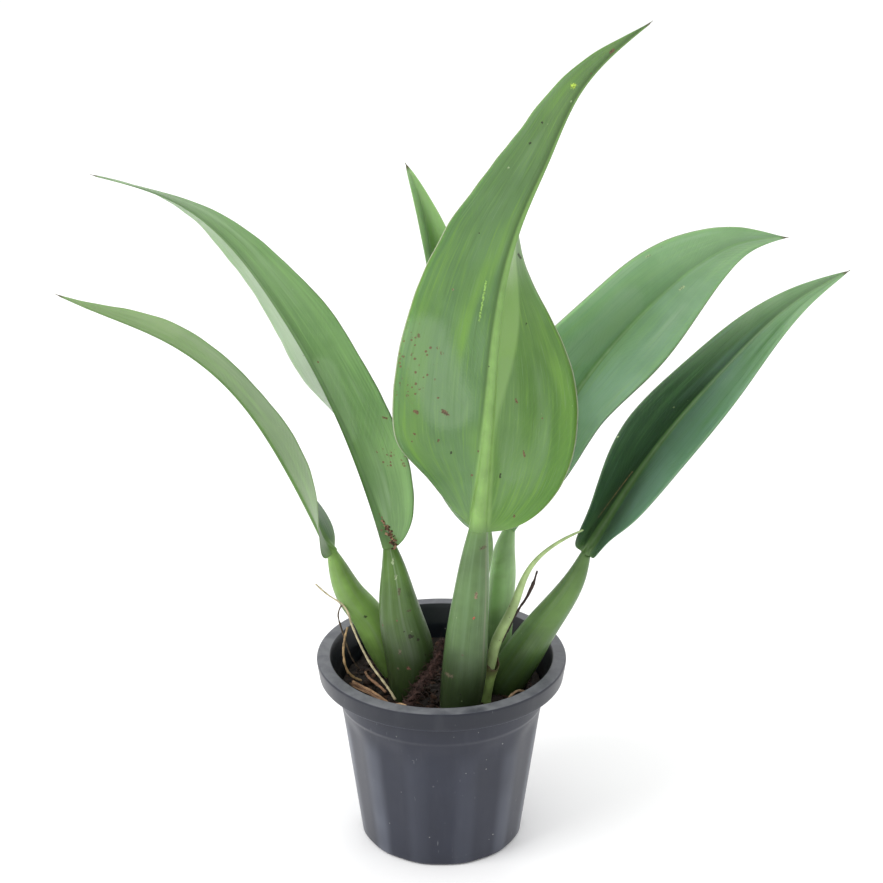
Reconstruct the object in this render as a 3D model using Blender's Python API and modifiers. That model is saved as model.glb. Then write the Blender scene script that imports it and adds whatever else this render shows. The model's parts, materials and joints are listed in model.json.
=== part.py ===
# A potted philodendron: six leaves on swollen stalks, rooted in a fluted nursery pot.
# Lengths are in metres, +Z is up, and the front of the plant faces -Y.
# The origin is the centre of the pot's foot.

import math

import bmesh
import bpy
import numpy as np
from mathutils import Vector, noise

MM = 0.001

# Driving dimensions of the pot
POT_HEIGHT = 118 * MM
RIM_RADIUS = 75 * MM
FLANGE_WIDTH = 8.5 * MM
BAND_HEIGHT = 12 * MM
BAND_TAPER = 1.6 * MM
COLLAR_STEP = 3.5 * MM
COLLAR_HEIGHT = 28 * MM
COLLAR_TAPER = 1.5 * MM
FOOT_TAPER = 12.5 * MM
POT_WALL = 1.6 * MM
POT_FLOOR = 2.5 * MM
FLUTE_COUNT = 12
FLUTE_DEPTH = 1.2 * MM
DRAIN_COUNT = 6
DRAIN_RADIUS = 4.5 * MM
DRAIN_INSET = 17 * MM

# Driving dimensions of the soil and of the plant's fits
SOIL_DROP = 20 * MM
SOIL_BUMP = 1.2 * MM
GAP = 0.3 * MM
BLADE_THICKNESS = 1.2 * MM
STALK_JOINT = 1.0 * MM

# Sizes worked out from those above
MOUTH_RADIUS = RIM_RADIUS - FLANGE_WIDTH
COLLAR_RADIUS = MOUTH_RADIUS - COLLAR_STEP
RING_RADIUS = COLLAR_RADIUS - COLLAR_TAPER
FOOT_RADIUS = RING_RADIUS - FOOT_TAPER
RING_HEIGHT = POT_HEIGHT - COLLAR_HEIGHT
SOIL_TOP = POT_HEIGHT - SOIL_DROP

# The plant is as big as its pot lets it be. Its points are in plant units, of which the
# pot's mouth is 66.5 from its axis, measured from the middle of the soil's surface.
PLANT_UNIT = MOUTH_RADIUS / 66.5

# Blade outline, as shares of its length: a round base, then a long drawn-out tip
BASE_ROUNDNESS = 2.4
TIP_HOLLOW = 1.5
TIP_SHARPNESS = 1.1
STATIONS = (0.0, 0.15, 0.35, 0.55, 0.75, 1.0)

# Each leaf: its stalk's centre line with a radius, its midrib, the widest half width and
# where along the blade it comes, then at each station how far the upper face is rolled
# away from the front and how far each half is folded up from flat, both in degrees.
LEAVES = {
    "front": {
        "stalk": ((11, -35, -10, 11), (11, -35, 4, 12), (13, -35, 24, 13), (15, -36, 54, 12),
                  (17, -36, 75, 10.5), (19, -37, 100, 8), (21, -38, 119, 5.5)),
        "midrib": ((21, -38, 119), (27, -42, 199), (31, -42, 248), (42, -38, 298),
                   (57, -35, 334), (74, -32, 368), (110, -28, 405)),
        "half_width": 55, "widest": 0.28,
        "roll": (150, 186, 207, 231, 241, 238), "fold": (20, 4, 19, 34, 35, 40),
    },
    "left": {
        "stalk": ((-21, -16, -9, 6), (-21, -16, 4, 10), (-19, -14, 26, 14.5), (-22, -12, 41, 14),
                  (-26, -8, 61, 11), (-29, -4, 84, 6), (-30.5, -1, 91, 4)),
        "midrib": ((-30.5, -1, 91), (-59, -4, 175), (-97, -10, 251), (-119, -12, 282),
                   (-139, -13, 300), (-191, -12, 319)),
        "half_width": 37, "widest": 0.29,
        "roll": (107, 117, 133, 137, 132, 90), "fold": (52, 38, 18, 21, 11, 0),
    },
    "far_left": {
        "stalk": ((-23, 9, -10, 6), (-27, 11, 1, 8.5), (-37, 12, 23, 10.5), (-45, 12, 40, 10),
                  (-53, 10, 52, 9), (-61, 5, 73, 6), (-64.5, 0, 87, 3)),
        "midrib": ((-64.5, 0, 87), (-91, -10, 149), (-121, -20, 200), (-153, -30, 230),
                   (-187, -42, 249), (-207, -52, 263)),
        "half_width": 32, "widest": 0.3,
        "roll": (71, 102, 118, 122, 133, 143), "fold": (5, 3, 12, 15, 28, 37),
    },
    "back": {
        "stalk": ((15, 4, -10, 6.5), (17, 5, 6, 9.5), (19, 6, 33, 9), (21, 7, 52, 7),
                  (24, 9, 71, 4.8), (27, 10, 84, 3.8), (26, 12, 97, 3.5)),
        "midrib": ((26, 12, 97), (3, 34, 195), (-6, 50, 254), (-15, 60, 293), (-21, 62, 306)),
        "half_width": 43, "widest": 0.32,
        "roll": (40, 35, 32, 32, 25, 0), "fold": (34, 30, 36, 54, 62, 60),
    },
    "right_back": {
        "stalk": ((31, 14, -8, 6), (33, 16, 7, 7.5), (35, 19, 26, 8), (36, 22, 45, 8),
                  (37, 25, 60, 8), (38, 28, 75, 6.5), (41, 31, 88, 3.5)),
        "midrib": ((41, 31, 88), (79, 50, 168), (125, 65, 221), (159, 80, 243), (177, 88, 249),
                   (209, 96, 251)),
        "half_width": 46, "widest": 0.37,
        "roll": (-51, -32, -27, -18, -34, -60), "fold": (52, 49, 52, 42, 28, 22),
    },
    "right": {
        "stalk": ((34, -4, -10, 6.5), (36, -5, -1, 11), (42, -6, 11, 12), (49, -7, 24, 11.5),
                  (59, -7, 41, 10), (70, -6, 57, 8.2), (80, -4, 74, 5.7), (85, -2, 87, 3)),
        "midrib": ((85, -2, 87), (113, 0, 136), (137, 3, 170), (162, 6, 200), (203, 13, 239),
                   (232, 18, 255)),
        "half_width": 39, "widest": 0.27,
        "roll": (-22, -16, -22, -21, -24, -26), "fold": (79, 74, 59, 52, 47, 50),
    },
}

# The young leaf, still rolled to a spear, and the sheath that it grows out of
SPEAR = ((25, -20, -7, 2.8), (25, -21, 3, 2.8), (29, -21, 23, 2.9), (32, -21, 38, 3.2),
         (38, -22, 53, 3), (43, -23, 66, 2.6), (47, -24, 79, 2), (52, -25, 90, 1.5),
         (62, -27, 102, 1.1), (74, -29, 111, 0.8), (81, -30, 115, 0.5))
SHEATH = ((25, -20, -7, 4.6), (25, -21, 3, 4.9), (28, -21, 18, 4.7), (31, -21, 32, 4.3))
DRY_STUB = ((35, -17, 36, 0.9), (39, -16.5, 44, 0.9), (43, -16, 53, 0.8), (49, -15, 63, 0.8),
            (54, -14, 74, 0.9), (56, -13, 81, 0.5))
RHIZOME = ((-20, -36, -6, 3), (-20, -36, 2, 3), (-17, -35, 9, 3.2), (-12, -32, 16, 3.2),
           (-6, -28, 23, 3), (-1, -22, 32, 2.6), (1, -19, 39, 2))

# Roots that show above the soil, each with a radius at its points
ROOTS = {
    "root_long_pale": ((-74, -10, 71, 0.5), (-65, -12, 63.5, 0.5), (-57, -14, 58, 0.5),
                       (-53.5, -17, 50, 0.6), (-48, -21, 37, 0.6), (-41, -26, 25, 0.7),
                       (-33, -30, 15, 0.7), (-27, -34, 7, 0.8)),
    "root_dark_loop": ((-56, 1, 47, 0.5), (-59, 2, 51, 0.5), (-61.5, 3, 46, 0.5),
                       (-61, 4, 38, 0.5), (-58, 5, 26, 0.5), (-54, 6, 13, 0.5),
                       (-50, 8, 5, 0.5)),
    "root_tan_arch": ((-56, -3, 39, 0.6), (-58, -5, 31, 0.7), (-58.5, -7, 22, 0.7),
                      (-57, -8, 14, 0.7), (-53, -6, 7, 0.7), (-48, -5, 4, 0.7)),
    "root_strand_outer": ((-53, -10, 6, 0.7), (-48, -17, 7, 0.8), (-42, -25, 8, 0.8),
                          (-34, -32, 6, 0.8), (-28, -37, 3, 0.8)),
    "root_strand_inner": ((-46, 2, 6, 0.7), (-44, -6, 7, 0.8), (-38, -16, 7, 0.8),
                          (-33, -23, 6, 0.8)),
    "root_rim": ((-47, -28, 3, 0.7), (-43, -31, 5, 0.8), (-37, -36, 4, 0.7)),
    "root_arc": ((-32, -42, 3, 0.7), (-28, -43, 8, 0.8), (-22, -44, 9, 0.8), (-17, -46, 3, 0.7)),
    "root_right": ((50, -20, 4, 0.7), (46, -25, 8, 0.8), (42, -29, 8, 0.8), (37, -34, 3, 0.7)),
}

# name: colour, roughness, metallic
FINISHES = {
    "pot_plastic": ((0.055, 0.062, 0.07), 0.42, 0),
    "soil_crumb": ((0.025, 0.017, 0.012), 0.95, 0),
    "leaf_green": ((0.09, 0.2, 0.045), 0.4, 0),
    "stalk_green": ((0.15, 0.27, 0.07), 0.38, 0),
    "young_green": ((0.3, 0.42, 0.14), 0.42, 0),
    "root_brown": ((0.28, 0.17, 0.09), 0.8, 0),
    "rhizome_brown": ((0.05, 0.025, 0.018), 0.95, 0),
}


def clear_scene():
    for thing in list(bpy.data.objects):
        bpy.data.objects.remove(thing, do_unlink=True)


def make_material(name):
    colour, roughness, metallic = FINISHES[name]
    material = bpy.data.materials.new(name)
    material.use_nodes = True
    shader = material.node_tree.nodes["Principled BSDF"]
    shader.inputs["Base Color"].default_value = (*colour, 1)
    shader.inputs["Roughness"].default_value = roughness
    shader.inputs["Metallic"].default_value = metallic
    return material


def new_collection(name):
    collection = bpy.data.collections.new(name)
    bpy.context.scene.collection.children.link(collection)
    return collection


def add_object(name, data, collection, material=None):
    thing = bpy.data.objects.new(name, data)
    collection.objects.link(thing)
    if material:
        data.materials.append(material)
    return thing


def as_mesh(thing, name):
    """A mesh object of the thing as its modifiers or its bevel make it, in its place."""
    graph = bpy.context.evaluated_depsgraph_get()
    mesh = bpy.data.meshes.new_from_object(thing.evaluated_get(graph))
    weld = bmesh.new()
    weld.from_mesh(mesh)
    bmesh.ops.remove_doubles(weld, verts=weld.verts, dist=0.01 * MM)
    bmesh.ops.recalc_face_normals(weld, faces=weld.faces)
    weld.to_mesh(mesh)
    weld.free()
    place = thing.matrix_world.copy()
    collection = thing.users_collection[0]
    bpy.data.objects.remove(thing, do_unlink=True)
    made = add_object(name, mesh, collection)
    made.matrix_world = place
    return made


def smooth_shade(thing, degrees=40):
    thing.data.shade_smooth()
    thing.data.set_sharp_from_angle(angle=math.radians(degrees))


def spline(knots, values, where):
    """Natural cubic through the values at the knots, read at the places asked for."""
    knots = np.asarray(knots, float)
    values = np.asarray(values, float).reshape(len(knots), -1)
    step = np.diff(knots)
    matrix = np.eye(len(knots))
    right = np.zeros_like(values)
    for i in range(1, len(knots) - 1):
        matrix[i, i - 1:i + 2] = step[i - 1], 2 * (step[i - 1] + step[i]), step[i]
        slopes = (values[i + 1] - values[i]) / step[i] - (values[i] - values[i - 1]) / step[i - 1]
        right[i] = 6 * slopes
    bend = np.linalg.solve(matrix, right)
    where = np.asarray(where, float)
    i = np.clip(np.searchsorted(knots, where, side="right") - 1, 0, len(knots) - 2)
    a = ((knots[i + 1] - where) / step[i])[:, None]
    b = 1 - a
    square = (step[i] ** 2)[:, None]
    return a * values[i] + b * values[i + 1] + ((a**3 - a) * bend[i] + (b**3 - b) * bend[i + 1]) * square / 6


def even_path(points, count):
    """Count points at even steps along a smooth line through the points. Columns past the
    third, such as a radius, are carried along."""
    points = np.asarray(points, float)
    knots = np.r_[0, np.cumsum(np.linalg.norm(np.diff(points[:, :3], axis=0), axis=1))]
    fine = spline(knots, points, np.linspace(0, knots[-1], 400))
    run = np.r_[0, np.cumsum(np.linalg.norm(np.diff(fine[:, :3], axis=0), axis=1))]
    steps = np.linspace(0, run[-1], count)
    return np.stack([np.interp(steps, run, column) for column in fine.T], axis=1)


def plant_place(points):
    """Plant units to metres, from the middle of the soil's surface."""
    return np.asarray(points, float) * PLANT_UNIT + np.array((0, 0, SOIL_TOP))


def tube(name, points, count, collection, material=None, sides=2, more=0.0, shorten=0.0):
    """A round stem along points of x, y, z and radius in plant units. More is added to its
    radius, and shorten is cut off its far end, in metres."""
    path = even_path(points, count)
    places = plant_place(path[:, :3])
    if shorten:
        last = Vector(places[-1]) - Vector(places[-2])
        places[-1] -= np.array(last.normalized()) * shorten
    curve = bpy.data.curves.new(name, "CURVE")
    curve.dimensions = "3D"
    curve.bevel_depth = PLANT_UNIT
    curve.bevel_resolution = sides
    curve.use_fill_caps = True
    line = curve.splines.new("POLY")
    line.points.add(count - 1)
    for point, place, radius in zip(line.points, places, path[:, 3]):
        point.co = (*place, 1)
        point.radius = radius + more / PLANT_UNIT
    return add_object(name, curve, collection, material)


def cut(thing, cutter):
    boolean = thing.modifiers.new("cut " + cutter.name, "BOOLEAN")
    boolean.operation = "DIFFERENCE"
    boolean.solver = "EXACT"
    boolean.object = cutter


def make_cutter(thing):
    thing.hide_render = True
    thing.display_type = "WIRE"
    return thing


def outer_radius(height):
    """Outside of the pot's wall below its band, before the flutes are pressed in."""
    heights = (0, RING_HEIGHT, POT_HEIGHT - BAND_HEIGHT)
    return float(np.interp(height, heights, (FOOT_RADIUS, RING_RADIUS, COLLAR_RADIUS)))


def inner_wall(top):
    """Heights and radii up the inside of the wall, from the pot's floor to the given height."""
    heights = (POT_FLOOR, 0.08 * RING_HEIGHT, 0.35 * RING_HEIGHT, 0.65 * RING_HEIGHT,
               RING_HEIGHT - 8 * MM, RING_HEIGHT - 2 * MM, RING_HEIGHT + 2 * MM, top)
    return [(outer_radius(height) - POT_WALL, height) for height in heights if height <= top]


def flute_push(x, y, z):
    """How far the wall is pressed in at a place: flutes that start in a round under the
    collar's ring and get shallow towards the foot."""
    angle = math.atan2(x, -y)
    below = np.clip((RING_HEIGHT - 1 * MM - z) / (9 * MM), 0, 1)
    start = below * below * (3 - 2 * below)
    depth = FLUTE_DEPTH * start * (0.35 + 0.65 * np.clip(z / RING_HEIGHT, 0, 1))
    return depth * (0.5 + 0.5 * math.cos(FLUTE_COUNT * angle))


def press_flutes(mesh, inside_of):
    for vertex in mesh.vertices:
        x, y, z = vertex.co
        radius = math.hypot(x, y)
        if radius > outer_radius(z) - inside_of and z < RING_HEIGHT:
            scale = (radius - flute_push(x, y, z)) / radius
            vertex.co = (x * scale, y * scale, z)


def turned(name, profile, collection, steps=60):
    """A profile of (radius, height) points turned about Z, from the axis to the axis."""
    mesh = bpy.data.meshes.new(name)
    mesh.from_pydata([(radius, 0, height) for radius, height in profile],
                     [(i, i + 1) for i in range(len(profile) - 1)], [])
    thing = add_object(name, mesh, collection)
    screw = thing.modifiers.new("turn", "SCREW")
    screw.steps = steps
    screw.render_steps = steps
    screw.use_merge_vertices = True
    screw.merge_threshold = 0.01 * MM
    return as_mesh(thing, name)


def pot_profile():
    band_foot = POT_HEIGHT - BAND_HEIGHT
    inner = inner_wall(band_foot)
    lip = [
        (MOUTH_RADIUS - 0.8 * MM, POT_HEIGHT - 2 * MM),
        (MOUTH_RADIUS, POT_HEIGHT - 0.4 * MM),
        (MOUTH_RADIUS + 0.6 * MM, POT_HEIGHT),
        (RIM_RADIUS - 1 * MM, POT_HEIGHT),
        (RIM_RADIUS - 0.2 * MM, POT_HEIGHT - 0.4 * MM),
        (RIM_RADIUS, POT_HEIGHT - 1.2 * MM),
        (RIM_RADIUS - BAND_TAPER, band_foot),
        (RIM_RADIUS - BAND_TAPER - POT_WALL, band_foot),
        (RIM_RADIUS - POT_WALL - 0.6 * MM, POT_HEIGHT - POT_WALL - 0.8 * MM),
        (MOUTH_RADIUS + 1 * MM, POT_HEIGHT - POT_WALL - 0.8 * MM),
        (COLLAR_RADIUS, band_foot),
    ]
    outer_heights = (RING_HEIGHT + 2 * MM, RING_HEIGHT - 2 * MM, RING_HEIGHT - 8 * MM,
                     0.65 * RING_HEIGHT, 0.35 * RING_HEIGHT, 0.08 * RING_HEIGHT, 1.5 * MM)
    outer = [(outer_radius(height), height) for height in outer_heights]
    foot = [(FOOT_RADIUS - 1.2 * MM, 0), (0, 0)]
    return [(0, POT_FLOOR), *inner, *lip, *outer, *foot]


def make_pot(parts, cutters):
    pot = turned("pot", pot_profile(), parts)
    pot.data.materials.append(make_material("pot_plastic"))
    press_flutes(pot.data, POT_WALL + 0.2 * MM)
    for number in range(DRAIN_COUNT):
        angle = math.tau * (number + 0.5) / DRAIN_COUNT
        hole = bmesh.new()
        bmesh.ops.create_cone(hole, cap_ends=True, segments=16, radius1=DRAIN_RADIUS,
                              radius2=DRAIN_RADIUS, depth=4 * POT_FLOOR)
        mesh = bpy.data.meshes.new("drain_cutter")
        hole.to_mesh(mesh)
        hole.free()
        cutter = make_cutter(add_object(f"drain_cutter_{number + 1}", mesh, cutters))
        distance = FOOT_RADIUS - DRAIN_INSET
        cutter.location = (distance * math.cos(angle), distance * math.sin(angle), 0)
        cut(pot, cutter)
    smooth_shade(pot)
    return pot


def soil_profile():
    top = SOIL_TOP
    wall = [(radius - 2 * GAP, height) for radius, height in inner_wall(top)[1:]]
    wall.insert(0, (inner_wall(top)[0][0] - 3 * GAP, POT_FLOOR + GAP))
    rings = [(wall[-1][0] * share, top) for share in (0.8, 0.6, 0.4, 0.2)]
    # The profile runs down its outer side, so it starts on the axis at the top.
    return [(0, top), *rings[::-1], *wall[::-1], (0, POT_FLOOR + GAP)]


def make_soil(parts, cutters, planted):
    """The root ball: its sides follow the pot, its top is uneven, and it has a pocket for
    each piece that is planted in it."""
    soil = turned("potting_soil", soil_profile(), parts)
    soil.data.materials.append(make_material("soil_crumb"))
    press_flutes(soil.data, POT_WALL + 4 * GAP)
    edge = outer_radius(SOIL_TOP) - POT_WALL
    for vertex in soil.data.vertices:
        x, y, z = vertex.co
        share = math.hypot(x, y) / edge
        if z > SOIL_TOP - GAP and share < 0.9:
            rough = noise.noise(Vector((x, y, 0)) / (14 * MM))
            vertex.co.z = z + SOIL_BUMP * rough * (1 - share * share)
    for name, points, count, sides in planted:
        wide = tube(name + "_pocket", points, count, cutters, sides=sides, more=GAP)
        # The pocket goes one gap deeper than the piece planted in it.
        first = wide.data.splines[0].points[0]
        second = wide.data.splines[0].points[1]
        away = (first.co - second.co).normalized() * GAP
        first.co = first.co + away
        cut(soil, make_cutter(as_mesh(wide, name + "_pocket")))
    smooth_shade(soil, 60)
    return soil


def half_width(leaf, share):
    """Half the blade's width at a share of its length, in plant units."""
    if share < leaf["widest"]:
        rise = 1 - share / leaf["widest"]
        return leaf["half_width"] * (1 - rise**BASE_ROUNDNESS) ** 0.5
    fall = (share - leaf["widest"]) / (1 - leaf["widest"])
    return leaf["half_width"] * (1 - fall**TIP_HOLLOW) ** TIP_SHARPNESS


def blade_frames(leaf, count):
    """Along the midrib: places, the way the upper face looks, and the way to its side."""
    path = even_path(leaf["midrib"], count)
    along = np.gradient(path, axis=0)
    along /= np.linalg.norm(along, axis=1)[:, None]
    front = np.array((0, -1, 0))
    facing = front - (along @ front)[:, None] * along
    facing /= np.linalg.norm(facing, axis=1)[:, None]
    aside = np.cross(along, facing)
    shares = np.linspace(0, 1, count)
    roll = np.radians(spline(STATIONS, leaf["roll"], shares))
    up = np.cos(roll) * facing + np.sin(roll) * aside
    side = np.cos(roll) * aside - np.sin(roll) * facing
    return path, up, side


def make_blade(name, leaf, parts, rows=22, columns=6):
    """A leaf blade: a flat grid laid along the midrib, rolled and folded, then thickened."""
    path, up, side = blade_frames(leaf, 201)
    fold = np.radians(spline(STATIONS, leaf["fold"], np.linspace(0, 1, 201)))[:, 0]
    length = np.linalg.norm(np.diff(path, axis=0), axis=1).sum() * PLANT_UNIT
    first = (STALK_JOINT + GAP) / length
    grid = bmesh.new()
    bmesh.ops.create_grid(grid, x_segments=columns, y_segments=rows, size=1)
    for vertex in grid.verts:
        across = vertex.co.x
        share = first + (0.995 - first) * ((vertex.co.y + 1) / 2) ** 1.35
        place = share * 200
        i = min(int(place), 199)
        blend = place - i
        centre = path[i] * (1 - blend) + path[i + 1] * blend
        out = side[i] * math.cos(fold[i]) * np.sign(across) + up[i] * math.sin(fold[i])
        vertex.co = plant_place(centre + out * abs(across) * half_width(leaf, share))
    mesh = bpy.data.meshes.new(name)
    grid.to_mesh(mesh)
    grid.free()
    blade = add_object(name, mesh, parts, make_material("leaf_green"))
    solidify = blade.modifiers.new("thickness", "SOLIDIFY")
    solidify.thickness = BLADE_THICKNESS
    solidify.offset = 0
    mesh.shade_smooth()
    return blade


def make_leaves(parts):
    for name, leaf in LEAVES.items():
        tube("petiole_" + name, leaf["stalk"], 14, parts, make_material("stalk_green"), sides=4,
             shorten=GAP)
        make_blade("blade_" + name, leaf, parts)


def make_young_leaf(parts, cutters):
    """The rolled spear rises through the sheath, which stands round its foot."""
    tube("young_spear", SPEAR, 18, parts, make_material("young_green"))
    sheath = as_mesh(tube("spear_sheath", SHEATH, 8, parts, sides=3), "spear_sheath")
    sheath.data.materials.append(make_material("young_green"))
    bore = tube("sheath_bore", SPEAR, 18, cutters, more=2 * GAP)
    first = bore.data.splines[0].points[0]
    first.co = first.co - Vector((0, 0, 4 * MM, 0))
    cut(sheath, make_cutter(as_mesh(bore, "sheath_bore")))
    tube("dry_stub", DRY_STUB, 9, parts, make_material("rhizome_brown"))


def make_roots(parts):
    tube("rhizome", RHIZOME, 10, parts, make_material("rhizome_brown"), sides=3)
    for name, points in ROOTS.items():
        tube(name, points, 10, parts, make_material("root_brown"))


def planted_pieces():
    """What stands in the soil: name, points, how many of them and how round."""
    planted = [("petiole_" + name, leaf["stalk"], 14, 4) for name, leaf in LEAVES.items()]
    planted.append(("spear_sheath", SHEATH, 8, 3))
    planted.append(("rhizome", RHIZOME, 10, 3))
    return planted


def build():
    clear_scene()
    parts = new_collection("potted_philodendron")
    cutters = new_collection("cutters")
    make_pot(parts, cutters)
    make_soil(parts, cutters, planted_pieces())
    make_leaves(parts)
    make_young_leaf(parts, cutters)
    make_roots(parts)


build()
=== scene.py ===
import json
import math
import random

import bmesh
import bpy
import numpy as np
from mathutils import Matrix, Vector, noise

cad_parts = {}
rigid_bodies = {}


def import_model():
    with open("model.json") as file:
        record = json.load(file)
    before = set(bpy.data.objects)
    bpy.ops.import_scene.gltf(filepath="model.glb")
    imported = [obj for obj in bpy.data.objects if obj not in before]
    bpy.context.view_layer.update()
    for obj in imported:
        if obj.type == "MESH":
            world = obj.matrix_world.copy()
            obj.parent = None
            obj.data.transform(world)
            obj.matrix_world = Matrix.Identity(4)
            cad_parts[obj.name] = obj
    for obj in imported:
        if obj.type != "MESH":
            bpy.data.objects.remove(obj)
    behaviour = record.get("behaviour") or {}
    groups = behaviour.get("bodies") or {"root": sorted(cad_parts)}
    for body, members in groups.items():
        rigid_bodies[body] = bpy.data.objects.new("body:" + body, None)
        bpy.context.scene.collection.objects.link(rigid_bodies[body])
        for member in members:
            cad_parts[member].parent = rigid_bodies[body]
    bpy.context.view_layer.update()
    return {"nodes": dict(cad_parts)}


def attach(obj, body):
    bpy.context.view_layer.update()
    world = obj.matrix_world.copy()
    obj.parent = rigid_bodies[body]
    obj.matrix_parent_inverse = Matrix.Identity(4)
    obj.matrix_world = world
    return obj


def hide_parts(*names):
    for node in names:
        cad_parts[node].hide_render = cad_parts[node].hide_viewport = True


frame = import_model()
print("frame loaded:", len(frame["nodes"]), "nodes")

mm = 0.001

# small helpers for shapes


def smoothStep(low, high, value):
    share = np.clip((value - low) / (high - low), 0, 1)
    return share * share * (3 - 2 * share)


def naturalSpline(knots, values, where):
    # natural cubic through the values at the knots
    knots = np.asarray(knots, float)
    values = np.asarray(values, float).reshape(len(knots), -1)
    step = np.diff(knots)
    matrix = np.eye(len(knots))
    right = np.zeros_like(values)
    for i in range(1, len(knots) - 1):
        matrix[i, i - 1:i + 2] = step[i - 1], 2 * (step[i - 1] + step[i]), step[i]
        slopes = (values[i + 1] - values[i]) / step[i] - (values[i] - values[i - 1]) / step[i - 1]
        right[i] = 6 * slopes
    bend = np.linalg.solve(matrix, right)
    where = np.asarray(where, float)
    i = np.clip(np.searchsorted(knots, where, side="right") - 1, 0, len(knots) - 2)
    a = ((knots[i + 1] - where) / step[i])[:, None]
    b = 1 - a
    square = (step[i] ** 2)[:, None]
    return a * values[i] + b * values[i + 1] + ((a**3 - a) * bend[i] + (b**3 - b) * bend[i + 1]) * square / 6


def evenPath(points, count):
    # points at even steps along a smooth line; columns past the third are carried along
    points = np.asarray(points, float)
    knots = np.r_[0, np.cumsum(np.linalg.norm(np.diff(points[:, :3], axis=0), axis=1))]
    fine = naturalSpline(knots, points, np.linspace(0, knots[-1], 600))
    run = np.r_[0, np.cumsum(np.linalg.norm(np.diff(fine[:, :3], axis=0), axis=1))]
    steps = np.linspace(0, run[-1], count)
    return np.stack([np.interp(steps, run, column) for column in fine.T], axis=1)


def unit(vectors):
    return vectors / np.maximum(np.linalg.norm(vectors, axis=-1, keepdims=True), 1e-12)


def addMesh(name, points, faces, smooth=True):
    mesh = bpy.data.meshes.new(name)
    mesh.from_pydata(np.asarray(points, float).tolist(), [], [list(face) for face in faces])
    mesh.validate()
    mesh.update()
    if smooth:
        mesh.shade_smooth()
    thing = bpy.data.objects.new(name, mesh)
    bpy.context.scene.collection.objects.link(thing)
    return thing


def setMask(thing, name, values):
    attribute = thing.data.attributes.new(name, "FLOAT", "POINT")
    attribute.data.foreach_set("value", np.asarray(values, np.float32).ravel())


def loftFaces(rows, ring, first=0, closed=True):
    # quads between rings that follow each other
    faces = []
    last = ring if closed else ring - 1
    for i in range(rows - 1):
        for j in range(last):
            k = (j + 1) % ring
            a = first + i * ring
            faces.append((a + j, a + k, a + ring + k, a + ring + j))
    return faces


def faceOut(thing):
    shape = bmesh.new()
    shape.from_mesh(thing.data)
    bmesh.ops.recalc_face_normals(shape, faces=shape.faces)
    shape.to_mesh(thing.data)
    shape.free()


# small helpers for materials


def times(tint, factor):
    return tuple(factor * part for part in tint)


def addNode(tree, kind, **settings):
    node = tree.nodes.new(kind)
    for name, value in settings.items():
        setattr(node, name, value)
    return node


def feed(tree, socket, value):
    if isinstance(value, bpy.types.NodeSocket):
        tree.links.new(value, socket)
    else:
        if socket.type == "RGBA" and len(value) == 3:
            value = (*value, 1)
        socket.default_value = value


def calc(tree, operation, first, second=None, third=None, clamp=False):
    node = addNode(tree, "ShaderNodeMath", operation=operation, use_clamp=clamp)
    for socket, value in zip(node.inputs, (first, second, third)):
        if value is not None:
            feed(tree, socket, value)
    return node.outputs[0]


def blendColour(tree, share, first, second, kind="MIX"):
    node = addNode(tree, "ShaderNodeMix", data_type="RGBA", blend_type=kind)
    feed(tree, node.inputs[0], share)
    feed(tree, node.inputs[6], first)
    feed(tree, node.inputs[7], second)
    return node.outputs[2]


def ramp(tree, value, low, high, start=0.0, end=1.0):
    node = addNode(tree, "ShaderNodeMapRange", interpolation_type="SMOOTHSTEP")
    for name, number in zip(("Value", "From Min", "From Max", "To Min", "To Max"),
                            (value, low, high, start, end)):
        feed(tree, node.inputs[name], number)
    return node.outputs[0]


def readMask(tree, name):
    return addNode(tree, "ShaderNodeAttribute", attribute_name=name).outputs["Fac"]


def placeOn(tree, x, y, z=0.0):
    node = addNode(tree, "ShaderNodeCombineXYZ")
    for socket, value in zip(node.inputs, (x, y, z)):
        feed(tree, socket, value)
    return node.outputs[0]


def heightOf(tree, place):
    node = addNode(tree, "ShaderNodeSeparateXYZ")
    tree.links.new(place, node.inputs[0])
    return node.outputs[2]


def cloud(tree, where, scale, detail=2.0, rough=0.5, distortion=0.0):
    node = addNode(tree, "ShaderNodeTexNoise")
    feed(tree, node.inputs["Vector"], where)
    feed(tree, node.inputs["Scale"], scale)
    node.inputs["Detail"].default_value = detail
    node.inputs["Roughness"].default_value = rough
    node.inputs["Distortion"].default_value = distortion
    return node.outputs[0]


def newGroup(name, inputs, outputs):
    group = bpy.data.node_groups.new(name, "ShaderNodeTree")
    kinds = {"f": "NodeSocketFloat", "c": "NodeSocketColor", "v": "NodeSocketVector"}
    for title, (kind, value) in inputs.items():
        socket = group.interface.new_socket(title, in_out="INPUT", socket_type=kinds[kind])
        if value is not None:
            socket.default_value = value
    for title, kind in outputs.items():
        group.interface.new_socket(title, in_out="OUTPUT", socket_type=kinds[kind])
    return group, addNode(group, "NodeGroupInput"), addNode(group, "NodeGroupOutput")


def useGroup(tree, group, **values):
    node = addNode(tree, "ShaderNodeGroup", node_tree=group)
    for name, value in values.items():
        feed(tree, node.inputs[name.replace("_", " ")], value)
    return node


def newMaterial(name, **settings):
    material = bpy.data.materials.new(name)
    material.use_nodes = True
    tree = material.node_tree
    shader = tree.nodes["Principled BSDF"]
    for title, value in settings.items():
        feed(tree, shader.inputs[title.replace("_", " ")], value)
    return material, tree, shader


def addBump(tree, shader, height, distance, strength=1.0):
    bump = addNode(tree, "ShaderNodeBump")
    bump.inputs["Distance"].default_value = distance
    bump.inputs["Strength"].default_value = strength
    feed(tree, bump.inputs["Height"], height)
    tree.links.new(bump.outputs["Normal"], shader.inputs["Normal"])


def objectPlace(tree):
    return addNode(tree, "ShaderNodeTexCoord").outputs["Object"]


# node groups that several materials share


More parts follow.
